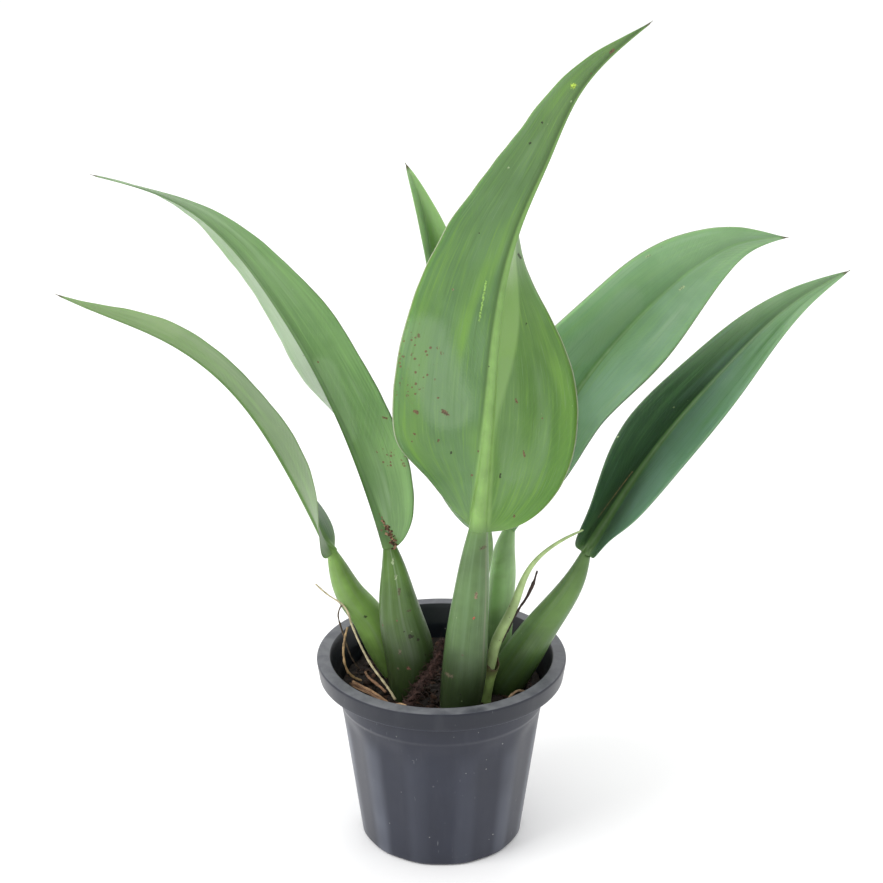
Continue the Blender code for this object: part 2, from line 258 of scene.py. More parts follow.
def makeMottle():
    # slow cloudy change between a darker and a lighter colour
    group, given, out = newGroup(
        "mottle",
        {"Place": ("v", None), "Dark": ("c", (0, 0, 0, 1)), "Light": ("c", (1, 1, 1, 1)),
         "Scale": ("f", 40.0), "Contrast": ("f", 0.5)},
        {"Color": "c", "Value": "f"})
    wide = cloud(group, given.outputs["Place"], given.outputs["Scale"], 3.0, 0.55, 0.3)
    low = calc(group, "MULTIPLY_ADD", given.outputs["Contrast"], -0.3, 0.5)
    high = calc(group, "MULTIPLY_ADD", given.outputs["Contrast"], 0.3, 0.5)
    value = ramp(group, wide, low, high)
    group.links.new(blendColour(group, value, given.outputs["Dark"], given.outputs["Light"]),
                    out.inputs["Color"])
    group.links.new(value, out.inputs["Value"])
    return group


def makeSpeckles():
    # scattered round spots of many sizes, thinned out by Amount
    group, given, out = newGroup(
        "speckles",
        {"Place": ("v", None), "Scale": ("f", 300.0), "Amount": ("f", 0.2), "Size": ("f", 0.25)},
        {"Mask": "f"})
    cells = addNode(group, "ShaderNodeTexVoronoi")
    group.links.new(given.outputs["Place"], cells.inputs["Vector"])
    group.links.new(given.outputs["Scale"], cells.inputs["Scale"])
    chance = addNode(group, "ShaderNodeSeparateColor")
    group.links.new(cells.outputs["Color"], chance.inputs[0])
    kept = calc(group, "LESS_THAN", chance.outputs[0], given.outputs["Amount"])
    wobble = cloud(group, given.outputs["Place"], calc(group, "MULTIPLY", given.outputs["Scale"], 2.5))
    far = calc(group, "MULTIPLY_ADD", wobble, 0.25, cells.outputs["Distance"])
    reach = calc(group, "MULTIPLY", given.outputs["Size"],
                 calc(group, "MULTIPLY_ADD", chance.outputs[1], 1.2, 0.5))
    inner = calc(group, "ADD", calc(group, "MULTIPLY", reach, 0.75), 0.125)
    outer = calc(group, "ADD", reach, 0.16)
    spot = ramp(group, far, inner, outer, 1.0, 0.0)
    group.links.new(calc(group, "MULTIPLY", kept, spot), out.inputs["Mask"])
    return group


def makeGrain():
    # fine skin: small pits and swellings, for bump and roughness
    group, given, out = newGroup(
        "fineGrain", {"Place": ("v", None), "Scale": ("f", 900.0), "Coarse": ("f", 0.4)},
        {"Height": "f"})
    fine = cloud(group, given.outputs["Place"], given.outputs["Scale"], 3.0, 0.6)
    wide = cloud(group, given.outputs["Place"], calc(group, "MULTIPLY", given.outputs["Scale"], 0.14), 2.0)
    mixed = calc(group, "MULTIPLY_ADD", calc(group, "SUBTRACT", wide, fine), given.outputs["Coarse"], fine)
    group.links.new(mixed, out.inputs["Height"])
    return group


def makeStroke():
    # a mark that runs from Start by Run, or a spot where Run is short; depth is left out
    group, given, out = newGroup(
        "strokeMark", {"Place": ("v", None), "Start": ("v", None), "Run": ("v", None), "Reach": ("f", 0.001),
         "Fray": ("f", 2.4)},
        {"Mask": "f"})

    def vector(operation, first, second, kind="Vector"):
        node = addNode(group, "ShaderNodeVectorMath", operation=operation)
        group.links.new(first, node.inputs[0])
        if isinstance(second, bpy.types.NodeSocket):
            group.links.new(second, node.inputs[1])
        elif second is not None:
            node.inputs[1].default_value = second
        return node.outputs[kind]

    flat = vector("MULTIPLY", given.outputs["Place"], (1, 0, 1))
    away = vector("SUBTRACT", flat, given.outputs["Start"])
    run = given.outputs["Run"]
    share = calc(group, "DIVIDE", vector("DOT_PRODUCT", away, run, "Value"),
                 calc(group, "ADD", vector("DOT_PRODUCT", run, run, "Value"), 1e-9), clamp=True)
    scaled = addNode(group, "ShaderNodeVectorMath", operation="SCALE")
    group.links.new(run, scaled.inputs[0])
    group.links.new(share, scaled.inputs["Scale"])
    gap = vector("LENGTH", vector("SUBTRACT", away, scaled.outputs[0]), None, "Value")
    wobble = cloud(group, given.outputs["Place"], 900.0, 3.0)
    frayed = calc(group, "MULTIPLY_ADD", calc(group, "SUBTRACT", wobble, 0.5), given.outputs["Fray"], 0.8)
    reach = calc(group, "MULTIPLY", given.outputs["Reach"], frayed)
    inner = calc(group, "MULTIPLY", reach, 0.45)
    group.links.new(ramp(group, gap, inner, reach, 1.0, 0.0), out.inputs["Mask"])
    return group


mottle = makeMottle()
strokeMark = makeStroke()
speckles = makeSpeckles()
fineGrain = makeGrain()
print("shared node groups made")

# pot

potValues = {
    "height": 118, "rimRadius": 75, "flangeWidth": 8.5, "bandHeight": 12, "bandTaper": 1.6,
    "collarStep": 3.5, "collarHeight": 28, "collarTaper": 1.5, "footTaper": 12.5, "wall": 1.6,
    "floor": 2.5, "flutes": 12, "fluteDepth": 1.2, "fluteTurn": 0.0, "drains": 6,
    "drainRadius": 4.5, "drainInset": 17, "steps": 288,
    # the pale tint after charcoal is a painted highlight for the flutes' crests
    "charcoal": (0.0165, 0.0195, 0.034), "gleamTint": (0.085, 0.095, 0.125), "dust": (0.20, 0.205, 0.22),
    "roughness": 0.30,
}
mouthRadius = potValues["rimRadius"] - potValues["flangeWidth"]
collarRadius = mouthRadius - potValues["collarStep"]
ringRadius = collarRadius - potValues["collarTaper"]
footRadius = ringRadius - potValues["footTaper"]
ringHeight = potValues["height"] - potValues["collarHeight"]


def outerRadius(height):
    heights = (0, ringHeight, potValues["height"] - potValues["bandHeight"])
    return float(np.interp(height, heights, (footRadius, ringRadius, collarRadius)))


def flutePush(x, y, z):
    # how far the wall is pressed in: flutes start in a round under the ring and fade to the foot
    angle = np.arctan2(x, -y) - math.radians(potValues["fluteTurn"])
    below = np.clip((ringHeight - 1 - z) / 9, 0, 1)
    start = below * below * (3 - 2 * below)
    depth = potValues["fluteDepth"] * start * (0.35 + 0.65 * np.clip(z / ringHeight, 0, 1))
    return depth * (0.5 + 0.5 * np.cos(potValues["flutes"] * angle))


def rounded(profile, sizes, parts=4):
    # each corner of the profile becomes a short curve of the size given for it
    made = []
    for i, point in enumerate(profile):
        size = sizes.get(i, 0)
        if not size or i in (0, len(profile) - 1):
            made.append(point)
            continue
        here = np.array(point, float)
        back = np.array(profile[i - 1], float) - here
        ahead = np.array(profile[i + 1], float) - here
        start = here + back / np.linalg.norm(back) * min(size, 0.45 * np.linalg.norm(back))
        end = here + ahead / np.linalg.norm(ahead) * min(size, 0.45 * np.linalg.norm(ahead))
        for t in np.linspace(0, 1, parts + 1):
            made.append(tuple((1 - t) ** 2 * start + 2 * t * (1 - t) * here + t * t * end))
    return made


def refined(profile, longest):
    # extra points on the long straight runs
    made = [profile[0]]
    for a, b in zip(profile, profile[1:]):
        count = max(1, math.ceil(math.hypot(b[0] - a[0], b[1] - a[1]) / longest))
        for k in range(1, count + 1):
            made.append((a[0] + (b[0] - a[0]) * k / count, a[1] + (b[1] - a[1]) * k / count))
    return made


def turnedPoints(profile, steps):
    # the profile turned about Z, with one point at each end on the axis
    angles = np.linspace(0, math.tau, steps, endpoint=False)
    middle = np.array(profile[1:-1])
    points = np.stack([middle[:, :1] * np.sin(angles), -middle[:, :1] * np.cos(angles),
                       np.repeat(middle[:, 1:], steps, axis=1)], axis=-1).reshape(-1, 3)
    faces = loftFaces(len(middle), steps)
    first, last = len(points), len(points) + 1
    points = np.vstack([points, (0, 0, profile[0][1]), (0, 0, profile[-1][1])])
    end = (len(middle) - 1) * steps
    for j in range(steps):
        k = (j + 1) % steps
        faces.append((first, k, j))
        faces.append((last, end + j, end + k))
    return points, faces


def potProfile():
    value = potValues
    top, bandFoot = value["height"], value["height"] - value["bandHeight"]
    wall, rim = value["wall"], value["rimRadius"]
    inner = [(outerRadius(z) - wall, z) for z in (value["floor"], ringHeight - 4, ringHeight, bandFoot)]
    corners = [
        (0, value["floor"]), *inner,
        (mouthRadius - 0.8, top - 2.2), (mouthRadius + 0.4, top),
        (rim - 0.6, top), (rim, top - 1.2), (rim - value["bandTaper"], bandFoot),
        (rim - value["bandTaper"] - wall, bandFoot), (rim - wall - 0.6, top - wall - 0.8),
        (mouthRadius + 1, top - wall - 0.8), (collarRadius, bandFoot),
        (ringRadius + 0.55, ringHeight + 1.2), (ringRadius - 0.55, ringHeight - 1.2),
        (footRadius, 0.0), (0, 0),
    ]
    sizes = {1: 2, 2: 2, 3: 2, 4: 1.5, 5: 0.8, 6: 0.5, 7: 0.9, 8: 0.6, 9: 0.6, 10: 0.6, 11: 1,
             12: 1, 13: 2.5, 14: 0.7, 15: 0.9, 16: 1.8}
    return refined(rounded(corners, sizes), 3)


def makePot():
    points, faces = turnedPoints(potProfile(), potValues["steps"])
    radius = np.hypot(points[:, 0], points[:, 1])
    outside = np.array([outerRadius(z) for z in points[:, 2]])
    pressed = (radius > outside - potValues["wall"] - 0.2) & (points[:, 2] < ringHeight)
    push = np.where(pressed, flutePush(*points.T), 0)
    scale = np.where(radius > 1, (radius - push) / np.maximum(radius, 1), 1)
    points[:, :2] *= scale[:, None]
    pot = addMesh("nurseryPot", points * mm, faces)
    faceOut(pot)
    distance = (footRadius - potValues["drainInset"]) * mm
    for number in range(potValues["drains"]):
        angle = math.tau * (number + 0.5) / potValues["drains"]
        shape = bmesh.new()
        bmesh.ops.create_cone(shape, cap_ends=True, segments=40, radius1=potValues["drainRadius"] * mm,
                              radius2=potValues["drainRadius"] * mm, depth=8 * mm)
        mesh = bpy.data.meshes.new("drainCutter")
        shape.to_mesh(mesh)
        shape.free()
        cutter = bpy.data.objects.new("drainCutter", mesh)
        bpy.context.scene.collection.objects.link(cutter)
        cutter.location = (distance * math.cos(angle), distance * math.sin(angle), 0)
        boolean = pot.modifiers.new("drain", "BOOLEAN")
        boolean.operation = "DIFFERENCE"
        boolean.solver = "EXACT"
        boolean.object = cutter
    bpy.context.view_layer.update()
    graph = bpy.context.evaluated_depsgraph_get()
    mesh = bpy.data.meshes.new_from_object(pot.evaluated_get(graph))
    pot.modifiers.clear()
    pot.data = mesh
    for thing in [o for o in bpy.data.objects if o.name.startswith("drainCutter")]:
        bpy.data.objects.remove(thing)
    mesh.shade_smooth()
    mesh.set_sharp_from_angle(angle=math.radians(38))
    return pot


def makePotPlastic():
    material, tree, shader = newMaterial("potPlastic", Specular_IOR_Level=0.42)
    place = objectPlace(tree)
    spread = addNode(tree, "ShaderNodeSeparateXYZ")
    tree.links.new(place, spread.inputs[0])
    height = spread.outputs[2]
    normal = addNode(tree, "ShaderNodeSeparateXYZ")
    tree.links.new(addNode(tree, "ShaderNodeNewGeometry").outputs["Normal"], normal.inputs[0])
    facesUp = ramp(tree, normal.outputs[2], 0.55, 0.95)
    # drifts of dust on what faces up, and a thinner film near the top
    drift = cloud(tree, place, 60.0, 4.0, 0.6, 0.4)
    film = calc(tree, "MULTIPLY", facesUp, ramp(tree, drift, 0.3, 0.65, 0.25, 1.0))
    smear = cloud(tree, placeOn(tree, calc(tree, "MULTIPLY", spread.outputs[0], 90),
                                calc(tree, "MULTIPLY", spread.outputs[1], 90),
                                calc(tree, "MULTIPLY", height, 14)), 1.0, 3.0, 0.6)
    haze = calc(tree, "MULTIPLY", ramp(tree, smear, 0.45, 0.8), 0.05)
    dusty = calc(tree, "ADD", calc(tree, "MULTIPLY", film, 0.66), haze, clamp=True)
    cloudy = useGroup(tree, mottle, Place=place, Dark=times(potValues["charcoal"], 0.88),
                      Light=times(potValues["charcoal"], 1.14), Scale=26.0, Contrast=0.9)
    # painted highlight: the flutes' crests are painted paler as soft gleams; painted shade: the inside of the
    # wall is painted dark
    angle = calc(tree, "ARCTAN2", spread.outputs[0], calc(tree, "MULTIPLY", spread.outputs[1], -1.0))
    fluteAngle = calc(tree, "MULTIPLY", angle, float(potValues["flutes"]))
    crest = ramp(tree, calc(tree, "COSINE", fluteAngle), 0.35, -1.0)
    below = ramp(tree, height, (ringHeight - 22) * mm, (ringHeight - 3) * mm, 1.0, 0.0)
    uneven = ramp(tree, cloud(tree, place, 16.0, 2.0), 0.35, 0.65, 0.45, 1.0)
    # the painted gleams are stronger on the left, where the light comes from, than on the front and the right
    turned = calc(tree, "SINE", angle)
    gleamLeft = ramp(tree, turned, -0.15, -0.75, 0.22, 1.15)
    gleamRight = ramp(tree, turned, 0.25, 0.95, 0.0, 0.5)
    gleamSpread = calc(tree, "MULTIPLY", uneven, calc(tree, "ADD", gleamLeft, gleamRight))
    paintedGleam = calc(tree, "MULTIPLY", calc(tree, "MULTIPLY", crest, below), gleamSpread, clamp=True)
    colour = blendColour(tree, paintedGleam, cloudy.outputs["Color"], potValues["gleamTint"])
    bandFoot = potValues["height"] - potValues["bandHeight"]
    # painted shade: the rim's band, and whatever else above its foot does not face up, is painted darker
    band = calc(tree, "MULTIPLY", ramp(tree, height, (bandFoot + 0.3) * mm, (bandFoot + 1.5) * mm),
                calc(tree, "SUBTRACT", 1.0, facesUp))
    colour = blendColour(tree, calc(tree, "MULTIPLY", band, 0.75), colour, (0.006, 0.008, 0.015))
    colour = blendColour(tree, dusty, colour, potValues["dust"])
    # painted shade: faces turned towards the pot's axis, the inside of the wall, are painted near black
    outward = addNode(tree, "ShaderNodeVectorMath", operation="DOT_PRODUCT")
    tree.links.new(placeOn(tree, spread.outputs[0], spread.outputs[1]), outward.inputs[0])
    tree.links.new(placeOn(tree, normal.outputs[0], normal.outputs[1]), outward.inputs[1])
    inner = ramp(tree, outward.outputs["Value"], -0.02, -0.005, 0.85, 0.0)
    colour = blendColour(tree, inner, colour, (0.004, 0.006, 0.008))
    # pale grains that cling to the plastic, and short fine scratches
    grains = useGroup(tree, speckles, Place=place, Scale=420.0, Amount=0.022, Size=0.12).outputs[0]
    bigGrains = useGroup(tree, speckles, Place=place, Scale=150.0, Amount=0.012, Size=0.05).outputs[0]
    grit = calc(tree, "MAXIMUM", grains, bigGrains)
    colour = blendColour(tree, calc(tree, "MULTIPLY", grit, 0.55), colour, (0.42, 0.42, 0.4))
    warp = cloud(tree, place, 35.0, 2.0)
    stroke = cloud(tree, placeOn(tree, calc(tree, "MULTIPLY", spread.outputs[0], 700),
                                 calc(tree, "MULTIPLY", spread.outputs[1], 700),
                                 calc(tree, "MULTIPLY_ADD", height, 60, calc(tree, "MULTIPLY", warp, 14))),
                   1.0, 1.0)
    scratch = calc(tree, "MULTIPLY", ramp(tree, stroke, 0.71, 0.78), ramp(tree, drift, 0.5, 0.62))
    colour = blendColour(tree, calc(tree, "MULTIPLY", scratch, 0.22), colour, (0.3, 0.31, 0.32))
    tree.links.new(colour, shader.inputs["Base Color"])
    grain = useGroup(tree, fineGrain, Place=place, Scale=1500.0, Coarse=0.5).outputs[0]
    rough = calc(tree, "MULTIPLY_ADD", dusty, 0.45, potValues["roughness"])
    rough = calc(tree, "MULTIPLY_ADD", grain, 0.06, rough, clamp=True)
    tree.links.new(rough, shader.inputs["Roughness"])
    relief = calc(tree, "SUBTRACT", grain, calc(tree, "MULTIPLY", scratch, 0.8))
    relief = calc(tree, "ADD", relief, calc(tree, "MULTIPLY", grit, 1.5))
    addBump(tree, shader, relief, 0.00005, 0.6)
    return material


pot = makePot()
pot.data.materials.append(makePotPlastic())
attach(pot, "root")
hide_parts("pot")
print("pot made")

# leaves: each stalk and blade grown as one skin

soilTop = 98  # height of the soil's surface, which the plant's points are measured from
outline = {"roundness": 2.4, "tipHollow": 1.5, "tipSharpness": 1.1}
stations = (0.0, 0.15, 0.35, 0.55, 0.75, 1.0)

leafValues = {
    "leafFront": {
        "nodes": ("petiole_front", "blade_front"),
        "soilShade": (26, 84, 0.93), "sheenPatches": ((-10, 236, 14, -40, 27, 0.5), (34, 215, 6, -60, 14, 0.2)),
        "stalk": ((11, -35, -10, 11), (11, -35, 4, 12), (13, -35, 24, 13), (15, -36, 54, 12),
                  (17, -36, 75, 10.5), (19, -37, 100, 8), (21, -38, 119, 5.5)),
        "midrib": ((21, -38, 119), (27, -42, 199), (31, -42, 248), (42, -38, 298),
                   (57, -35, 334), (73.4, -32, 369.5), (110, -28, 405.5)),
        "halfWidth": 55, "widest": 0.28,
        "roll": (150, 186, 207, 231, 241, 238), "fold": (20, 4, 19, 34, 35, 40),
        "camber": 0.05, "ripple": 1.4, "seed": 1, "trim": (0.22, 0.0),
        "plus": (0.090, 0.188, 0.062), "minus": (0.082, 0.190, 0.030), "bloomAndSheen": (0.19, 0.30, 0.16),
        "bright": (0.155, 0.315, 0.040), "tipTint": (0.115, 0.205, 0.060), "ribTint": (0.20, 0.35, 0.095),
        "stalkTint": (0.088, 0.162, 0.052), "edgeTint": (0.55, 0.62, 0.42), "roughness": 0.40,
        "flankHighlight": (-1, 27, 0.9), "creaseShade": (1, 0.85), "ridge": (-1, (0.36, 0.30, 0.24)),
        "dirt": ((-15.5, 236, 6), (-18.4, 221, 7), (-18, 212, 7), (-7, 230, 6), (-12, 216, 6)),
        "marks": (("brown", -14.7, 195, 1.5, -1.6, 1.6), ("brown", 0.8, 193.7, 2.6, -2.4, 1.9),
                  ("brown", -1.9, 202, 0, 0, 1.0), ("brown", -16.4, 175.2, 0, 0, 0.9),
                  ("brown", -15.5, 181, 1, -1, 0.9), ("brown", -1.9, 174.6, 0.4, 0.8, 1.0),
                  ("black", 5.3, 166.1, 0.2, 1.2, 0.9), ("brown", 17.1, 152.6, 0, 0, 1.2),
                  ("black", 32.8, 151.3, 0.2, 2, 0.9), ("black", 47.2, 235.3, 0, 0, 0.9),
                  ("brown", 41.2, 196.1, 1, -2, 0.9), ("brown", 20.4, 168.2, 0, 0, 0.9),
                  ("yellow", 69.1, 372.9, 0, 0, 2.4), ("black", 46.4, 343.3, 0.3, 0.6, 1.0),
                  ("black", 52.8, 354.4, 0, 0, 0.9), ("pale", 35.3, 331.3, 0, 0, 1.0),
                  ("pale", 68.2, 364.3, 0, 0, 0.9), ("pink", 6.2, 264.5, 0, 0, 0.9),
                  ("black", 20.1, 295.6, 0, 0, 0.6), ("brown", 89.7, 390.9, -1.5, -1.5, 1.2),
                  ("brown", 41.0, 128.6, 0, 0, 1.2), ("brown", 46.1, 165.7, 0.4, -3, 0.8),
                  ("black", 42.4, 272.0, 1.8, -3.6, 0.75), ("black", 26.0, 219.4, 0, 0, 0.7),
                  ("bright", 24, 268, -3.5, -22, 0.9), ("red", 18.6, 67.1, 0, 0, 1.2),
                  ("pink", 19.7, 79.5, 0.2, 3, 1.1), ("scar", 3.2, 28.8, 2.4, 0, 1.9),
                  ("scar", 22.4, 109.8, 2.2, 0.4, 1.7), ("black", 11, 18, 0, 0, 0.7),
                  ("scar", 12, 44, 0, 0, 0.8)),
    },
    "leafLeft": {
        "nodes": ("petiole_left", "blade_left"),
        "soilShade": (30, 100, 0.90), "sheenPatches": ((-66, 205, 10, -40, 15, 0.35),),
        "stalk": ((-21, -16, -9, 6), (-21, -16, 4, 10), (-19, -14, 26, 14.5), (-22, -12, 41, 14),
                  (-26, -8, 61, 11), (-29, -4, 84, 6), (-30.5, -1, 91, 4)),
        "midrib": ((-30.5, -1, 91), (-59, -4, 175), (-97, -10, 251), (-119, -12, 282),
                   (-139, -13, 300), (-191, -12, 319)),
        "halfWidth": 37, "widest": 0.29,
        "roll": (107, 117, 133, 137, 132, 90), "fold": (52, 38, 18, 21, 11, 0),
        "camber": 0.04, "ripple": 1.0, "seed": 2, "trim": (0.0, 0.03),
        # painted sheen: the pale plus colour stands in for the grazing sheen on the narrow strip of this half
        # that shows
        "plus": (0.36, 0.50, 0.30), "minus": (0.130, 0.245, 0.085), "bloomAndSheen": (0.26, 0.38, 0.21),
        "bright": (0.20, 0.36, 0.12), "tipTint": (0.19, 0.29, 0.15), "ribTint": (0.062, 0.150, 0.028),
        "stalkTint": (0.084, 0.172, 0.026), "edgeTint": (0.42, 0.50, 0.38), "roughness": 0.40,
        "flankHighlight": (1, 3, 0.0), "creaseShade": (-1, 0.45), "ridge": (-1, (0.30, 0.36, 0.26)),
        "dirt": ((-34, 100, 5), (-29, 150, 7)),
        "marks": (("brown", -32.7, 179.8, 1.5, 0, 1.2), ("scar", -24.8, 67.6, 0, 3, 1.1),
                  ("black", -18.5, 44.1, 1, 0, 1.9), ("scar", -24.4, 34, 0, 1.5, 1.3),
                  ("black", -13.8, 41.5, 0, 0, 1.2), ("scar", -25.6, 23.9, 0, 0, 1.2),
                  ("brown", -19.7, 25.2, 0.5, -0.5, 1.5), ("pale", -28.4, 84.5, 0, 2, 1.2),
                  ("black", -9.7, 31.6, 0, 0, 0.9), ("pale", -26.7, 78, 0, -1.5, 1.3),
                  ("black", -22, 47, 0, 0, 0.8), ("scar", -20, 58, 2, 0, 0.7)),
    },
    "leafFarLeft": {
        "nodes": ("petiole_far_left", "blade_far_left"),
        "soilShade": (4, 44, 0.70), "sheenPatches": (),
        "stalk": ((-23, 9, -10, 6), (-27, 11, 1, 8.5), (-37, 12, 23, 10.5), (-45, 12, 40, 10),
                  (-53, 10, 52, 9), (-61, 5, 73, 6), (-64.5, 0, 87, 3)),
        "midrib": ((-64.5, 0, 87), (-91, -10, 149), (-121, -20, 200), (-153, -30, 230),
                   (-187, -42, 250.5), (-207, -52, 264)),
        "halfWidth": 32, "widest": 0.3,
        "roll": (71, 102, 118, 122, 133, 143), "fold": (5, 3, 12, 15, 28, 37),
        "camber": 0.04, "ripple": 0.9, "seed": 3, "trim": (0.0, 0.0),
        "plus": (0.055, 0.13, 0.045), "minus": (0.110, 0.186, 0.070), "bloomAndSheen": (0.22, 0.30, 0.16),
        "bright": (0.15, 0.27, 0.08), "tipTint": (0.29, 0.40, 0.19), "ribTint": (0.09, 0.19, 0.035),
        "stalkTint": (0.165, 0.30, 0.062), "edgeTint": (0.38, 0.45, 0.30), "roughness": 0.44,
        "flankHighlight": (-1, 3, 0.25), "creaseShade": (1, 0.3), "ridge": (1, (0.34, 0.38, 0.28)),
        "dirt": (),
        "marks": (("black", -45.8, 43.4, 0.6, 0, 1.3), ("pale", -158, 226, 2, -1, 1.0),
                  ("black", -62, 118, 0, 0, 0.8)),
    },
    "leafBack": {
        "nodes": ("petiole_back", "blade_back"),
        "soilShade": (14, 66, 0.80), "sheenPatches": (),
        "stalk": ((15, 4, -10, 6.5), (17, 5, 6, 9.5), (19, 6, 33, 9), (21, 7, 52, 7),
                  (24, 9, 71, 4.8), (27, 10, 84, 3.8), (26, 12, 97, 3.5)),
        "midrib": ((26, 12, 97), (3, 34, 195), (-6, 50, 254), (-15, 60, 293), (-21, 62, 306)),
        "halfWidth": 43, "widest": 0.32,
        "roll": (40, 35, 32, 32, 25, 0), "fold": (34, 30, 36, 54, 62, 60),
        "camber": 0.05, "ripple": 0.9, "seed": 4, "trim": (0.0, 0.0),
        # painted sheen: the pale minus colour stands in for the grazing sheen on the narrow strip of this
        # half that shows
        "plus": (0.14, 0.28, 0.075), "minus": (0.34, 0.50, 0.32), "bloomAndSheen": (0.26, 0.38, 0.20),
        "bright": (0.22, 0.38, 0.10), "tipTint": (0.31, 0.46, 0.21), "ribTint": (0.15, 0.28, 0.08),
        "stalkTint": (0.21, 0.36, 0.13), "edgeTint": (0.42, 0.50, 0.38), "roughness": 0.40,
        "flankHighlight": (1, 3, 0.0), "creaseShade": (-1, 0.3), "ridge": (1, (0.46, 0.52, 0.42)),
        "dirt": (),
        "marks": (),
    },
    "leafRightBack": {
        "nodes": ("petiole_right_back", "blade_right_back"),
        "soilShade": (8, 60, 0.75), "sheenPatches": ((84, 196, 26, 26, 20, 0.4),),
        "stalk": ((31, 14, -8, 6), (33, 16, 7, 7.5), (35, 19, 26, 8), (36, 22, 45, 8),
                  (37, 25, 60, 8), (38, 28, 75, 6.5), (41, 31, 88, 3.5)),
        "midrib": ((41, 31, 88), (80, 50, 167.5), (126, 65, 220), (159, 80, 242.5), (177, 88, 249),
                   (209, 96, 251)),
        "halfWidth": 46, "widest": 0.37,
        "roll": (-51, -32, -27, -18, -34, -60), "fold": (52, 48, 50, 42, 28, 22),
        "camber": 0.05, "ripple": 1.0, "seed": 5, "trim": (-0.05, 0.0),
        "plus": (0.200, 0.335, 0.215), "minus": (0.215, 0.385, 0.195), "bloomAndSheen": (0.28, 0.40, 0.27),
        "bright": (0.22, 0.38, 0.16), "tipTint": (0.16, 0.275, 0.12), "ribTint": (0.15, 0.29, 0.085),
        "stalkTint": (0.30, 0.50, 0.20), "edgeTint": (0.36, 0.40, 0.34), "roughness": 0.38,
        "flankHighlight": (1, 3, 0.0), "creaseShade": (-1, 0.45), "ridge": (1, (0.34, 0.38, 0.28)),
        "dirt": (),
        "marks": (("pale", 121, 248, 2, 0.6, 0.8), ("pale", 96, 246, 7, -1.5, 0.7),
                  ("pale", 141, 228, 3, 2, 0.7), ("pale", 118, 176, 0, 0, 0.8)),
    },
    "leafRight": {
        "nodes": ("petiole_right", "blade_right"),
        "soilShade": (6, 62, 0.80), "sheenPatches": (),
        "stalk": ((34, -4, -10, 6.5), (36, -5, -1, 11), (42, -6, 11, 12), (49, -7, 24, 11.5),
                  (59, -7, 41, 10), (70, -6, 57, 8.2), (80, -4, 74, 5.7), (85, -2, 87, 3)),
        "midrib": ((85, -2, 87), (113, 0, 136), (137, 3, 170), (162, 6, 200), (203, 13, 239),
                   (232, 18, 255)),
        "halfWidth": 39, "widest": 0.27,
        "roll": (-22, -16, -22, -21, -24, -26), "fold": (79, 74, 59, 52, 47, 50),
        "camber": 0.05, "ripple": 1.0, "seed": 6, "trim": (0.28, 0.03),
        "plus": (0.110, 0.205, 0.135), "minus": (0.020, 0.054, 0.021), "bloomAndSheen": (0.13, 0.22, 0.17),
        "bright": (0.075, 0.17, 0.06), "tipTint": (0.28, 0.43, 0.23), "ribTint": (0.11, 0.21, 0.065),
        "stalkTint": (0.094, 0.180, 0.042), "edgeTint": (0.36, 0.42, 0.38), "roughness": 0.33,
        "flankHighlight": (1, 3, 0.0), "creaseShade": (-1, 0.3), "ridge": (1, (0.30, 0.34, 0.24)),
        "dirt": (),
        "marks": (("straw", 91, 113, 19.5, 26, 0.5), ("straw", 166, 243, 14, 4, 0.9),
                  ("pale", 133, 179, 0, 0, 0.9), ("pale", 100, 168, 0, 0, 0.7),
                  ("pale", 154, 231, 0, 0, 0.7), ("scar", 46.3, 46.8, 0, 0, 0.9),
                  ("scar", 61.8, 69.7, 0, 0, 0.9)),
    },
}

markTints = {
    "brown": (0.15, 0.062, 0.042), "black": (0.022, 0.016, 0.012), "yellow": (0.50, 0.68, 0.08),
    "pale": (0.32, 0.40, 0.22), "pink": (0.25, 0.16, 0.11), "bright": (0.26, 0.45, 0.10),
    "red": (0.42, 0.07, 0.05), "scar": (0.10, 0.085, 0.05), "straw": (0.55, 0.34, 0.20),
}
ringValues = {"rib": 9, "wing": 16, "top": 9, "ribReach": 72, "stalkRows": 70, "baseRows": 26,
              "bodyRows": 120, "tipRows": 18, "ribTip": 0.35}


def halfWidthAt(value, share):
    rise = np.clip(1 - share / value["widest"], 0, 1)
    fall = np.clip((share - value["widest"]) / (1 - value["widest"]), 0, 1)
    base = (1 - rise ** outline["roundness"]) ** 0.5
    tip = (1 - fall ** outline["tipHollow"]) ** outline["tipSharpness"]
    return value["halfWidth"] * np.where(share < value["widest"], base, tip)


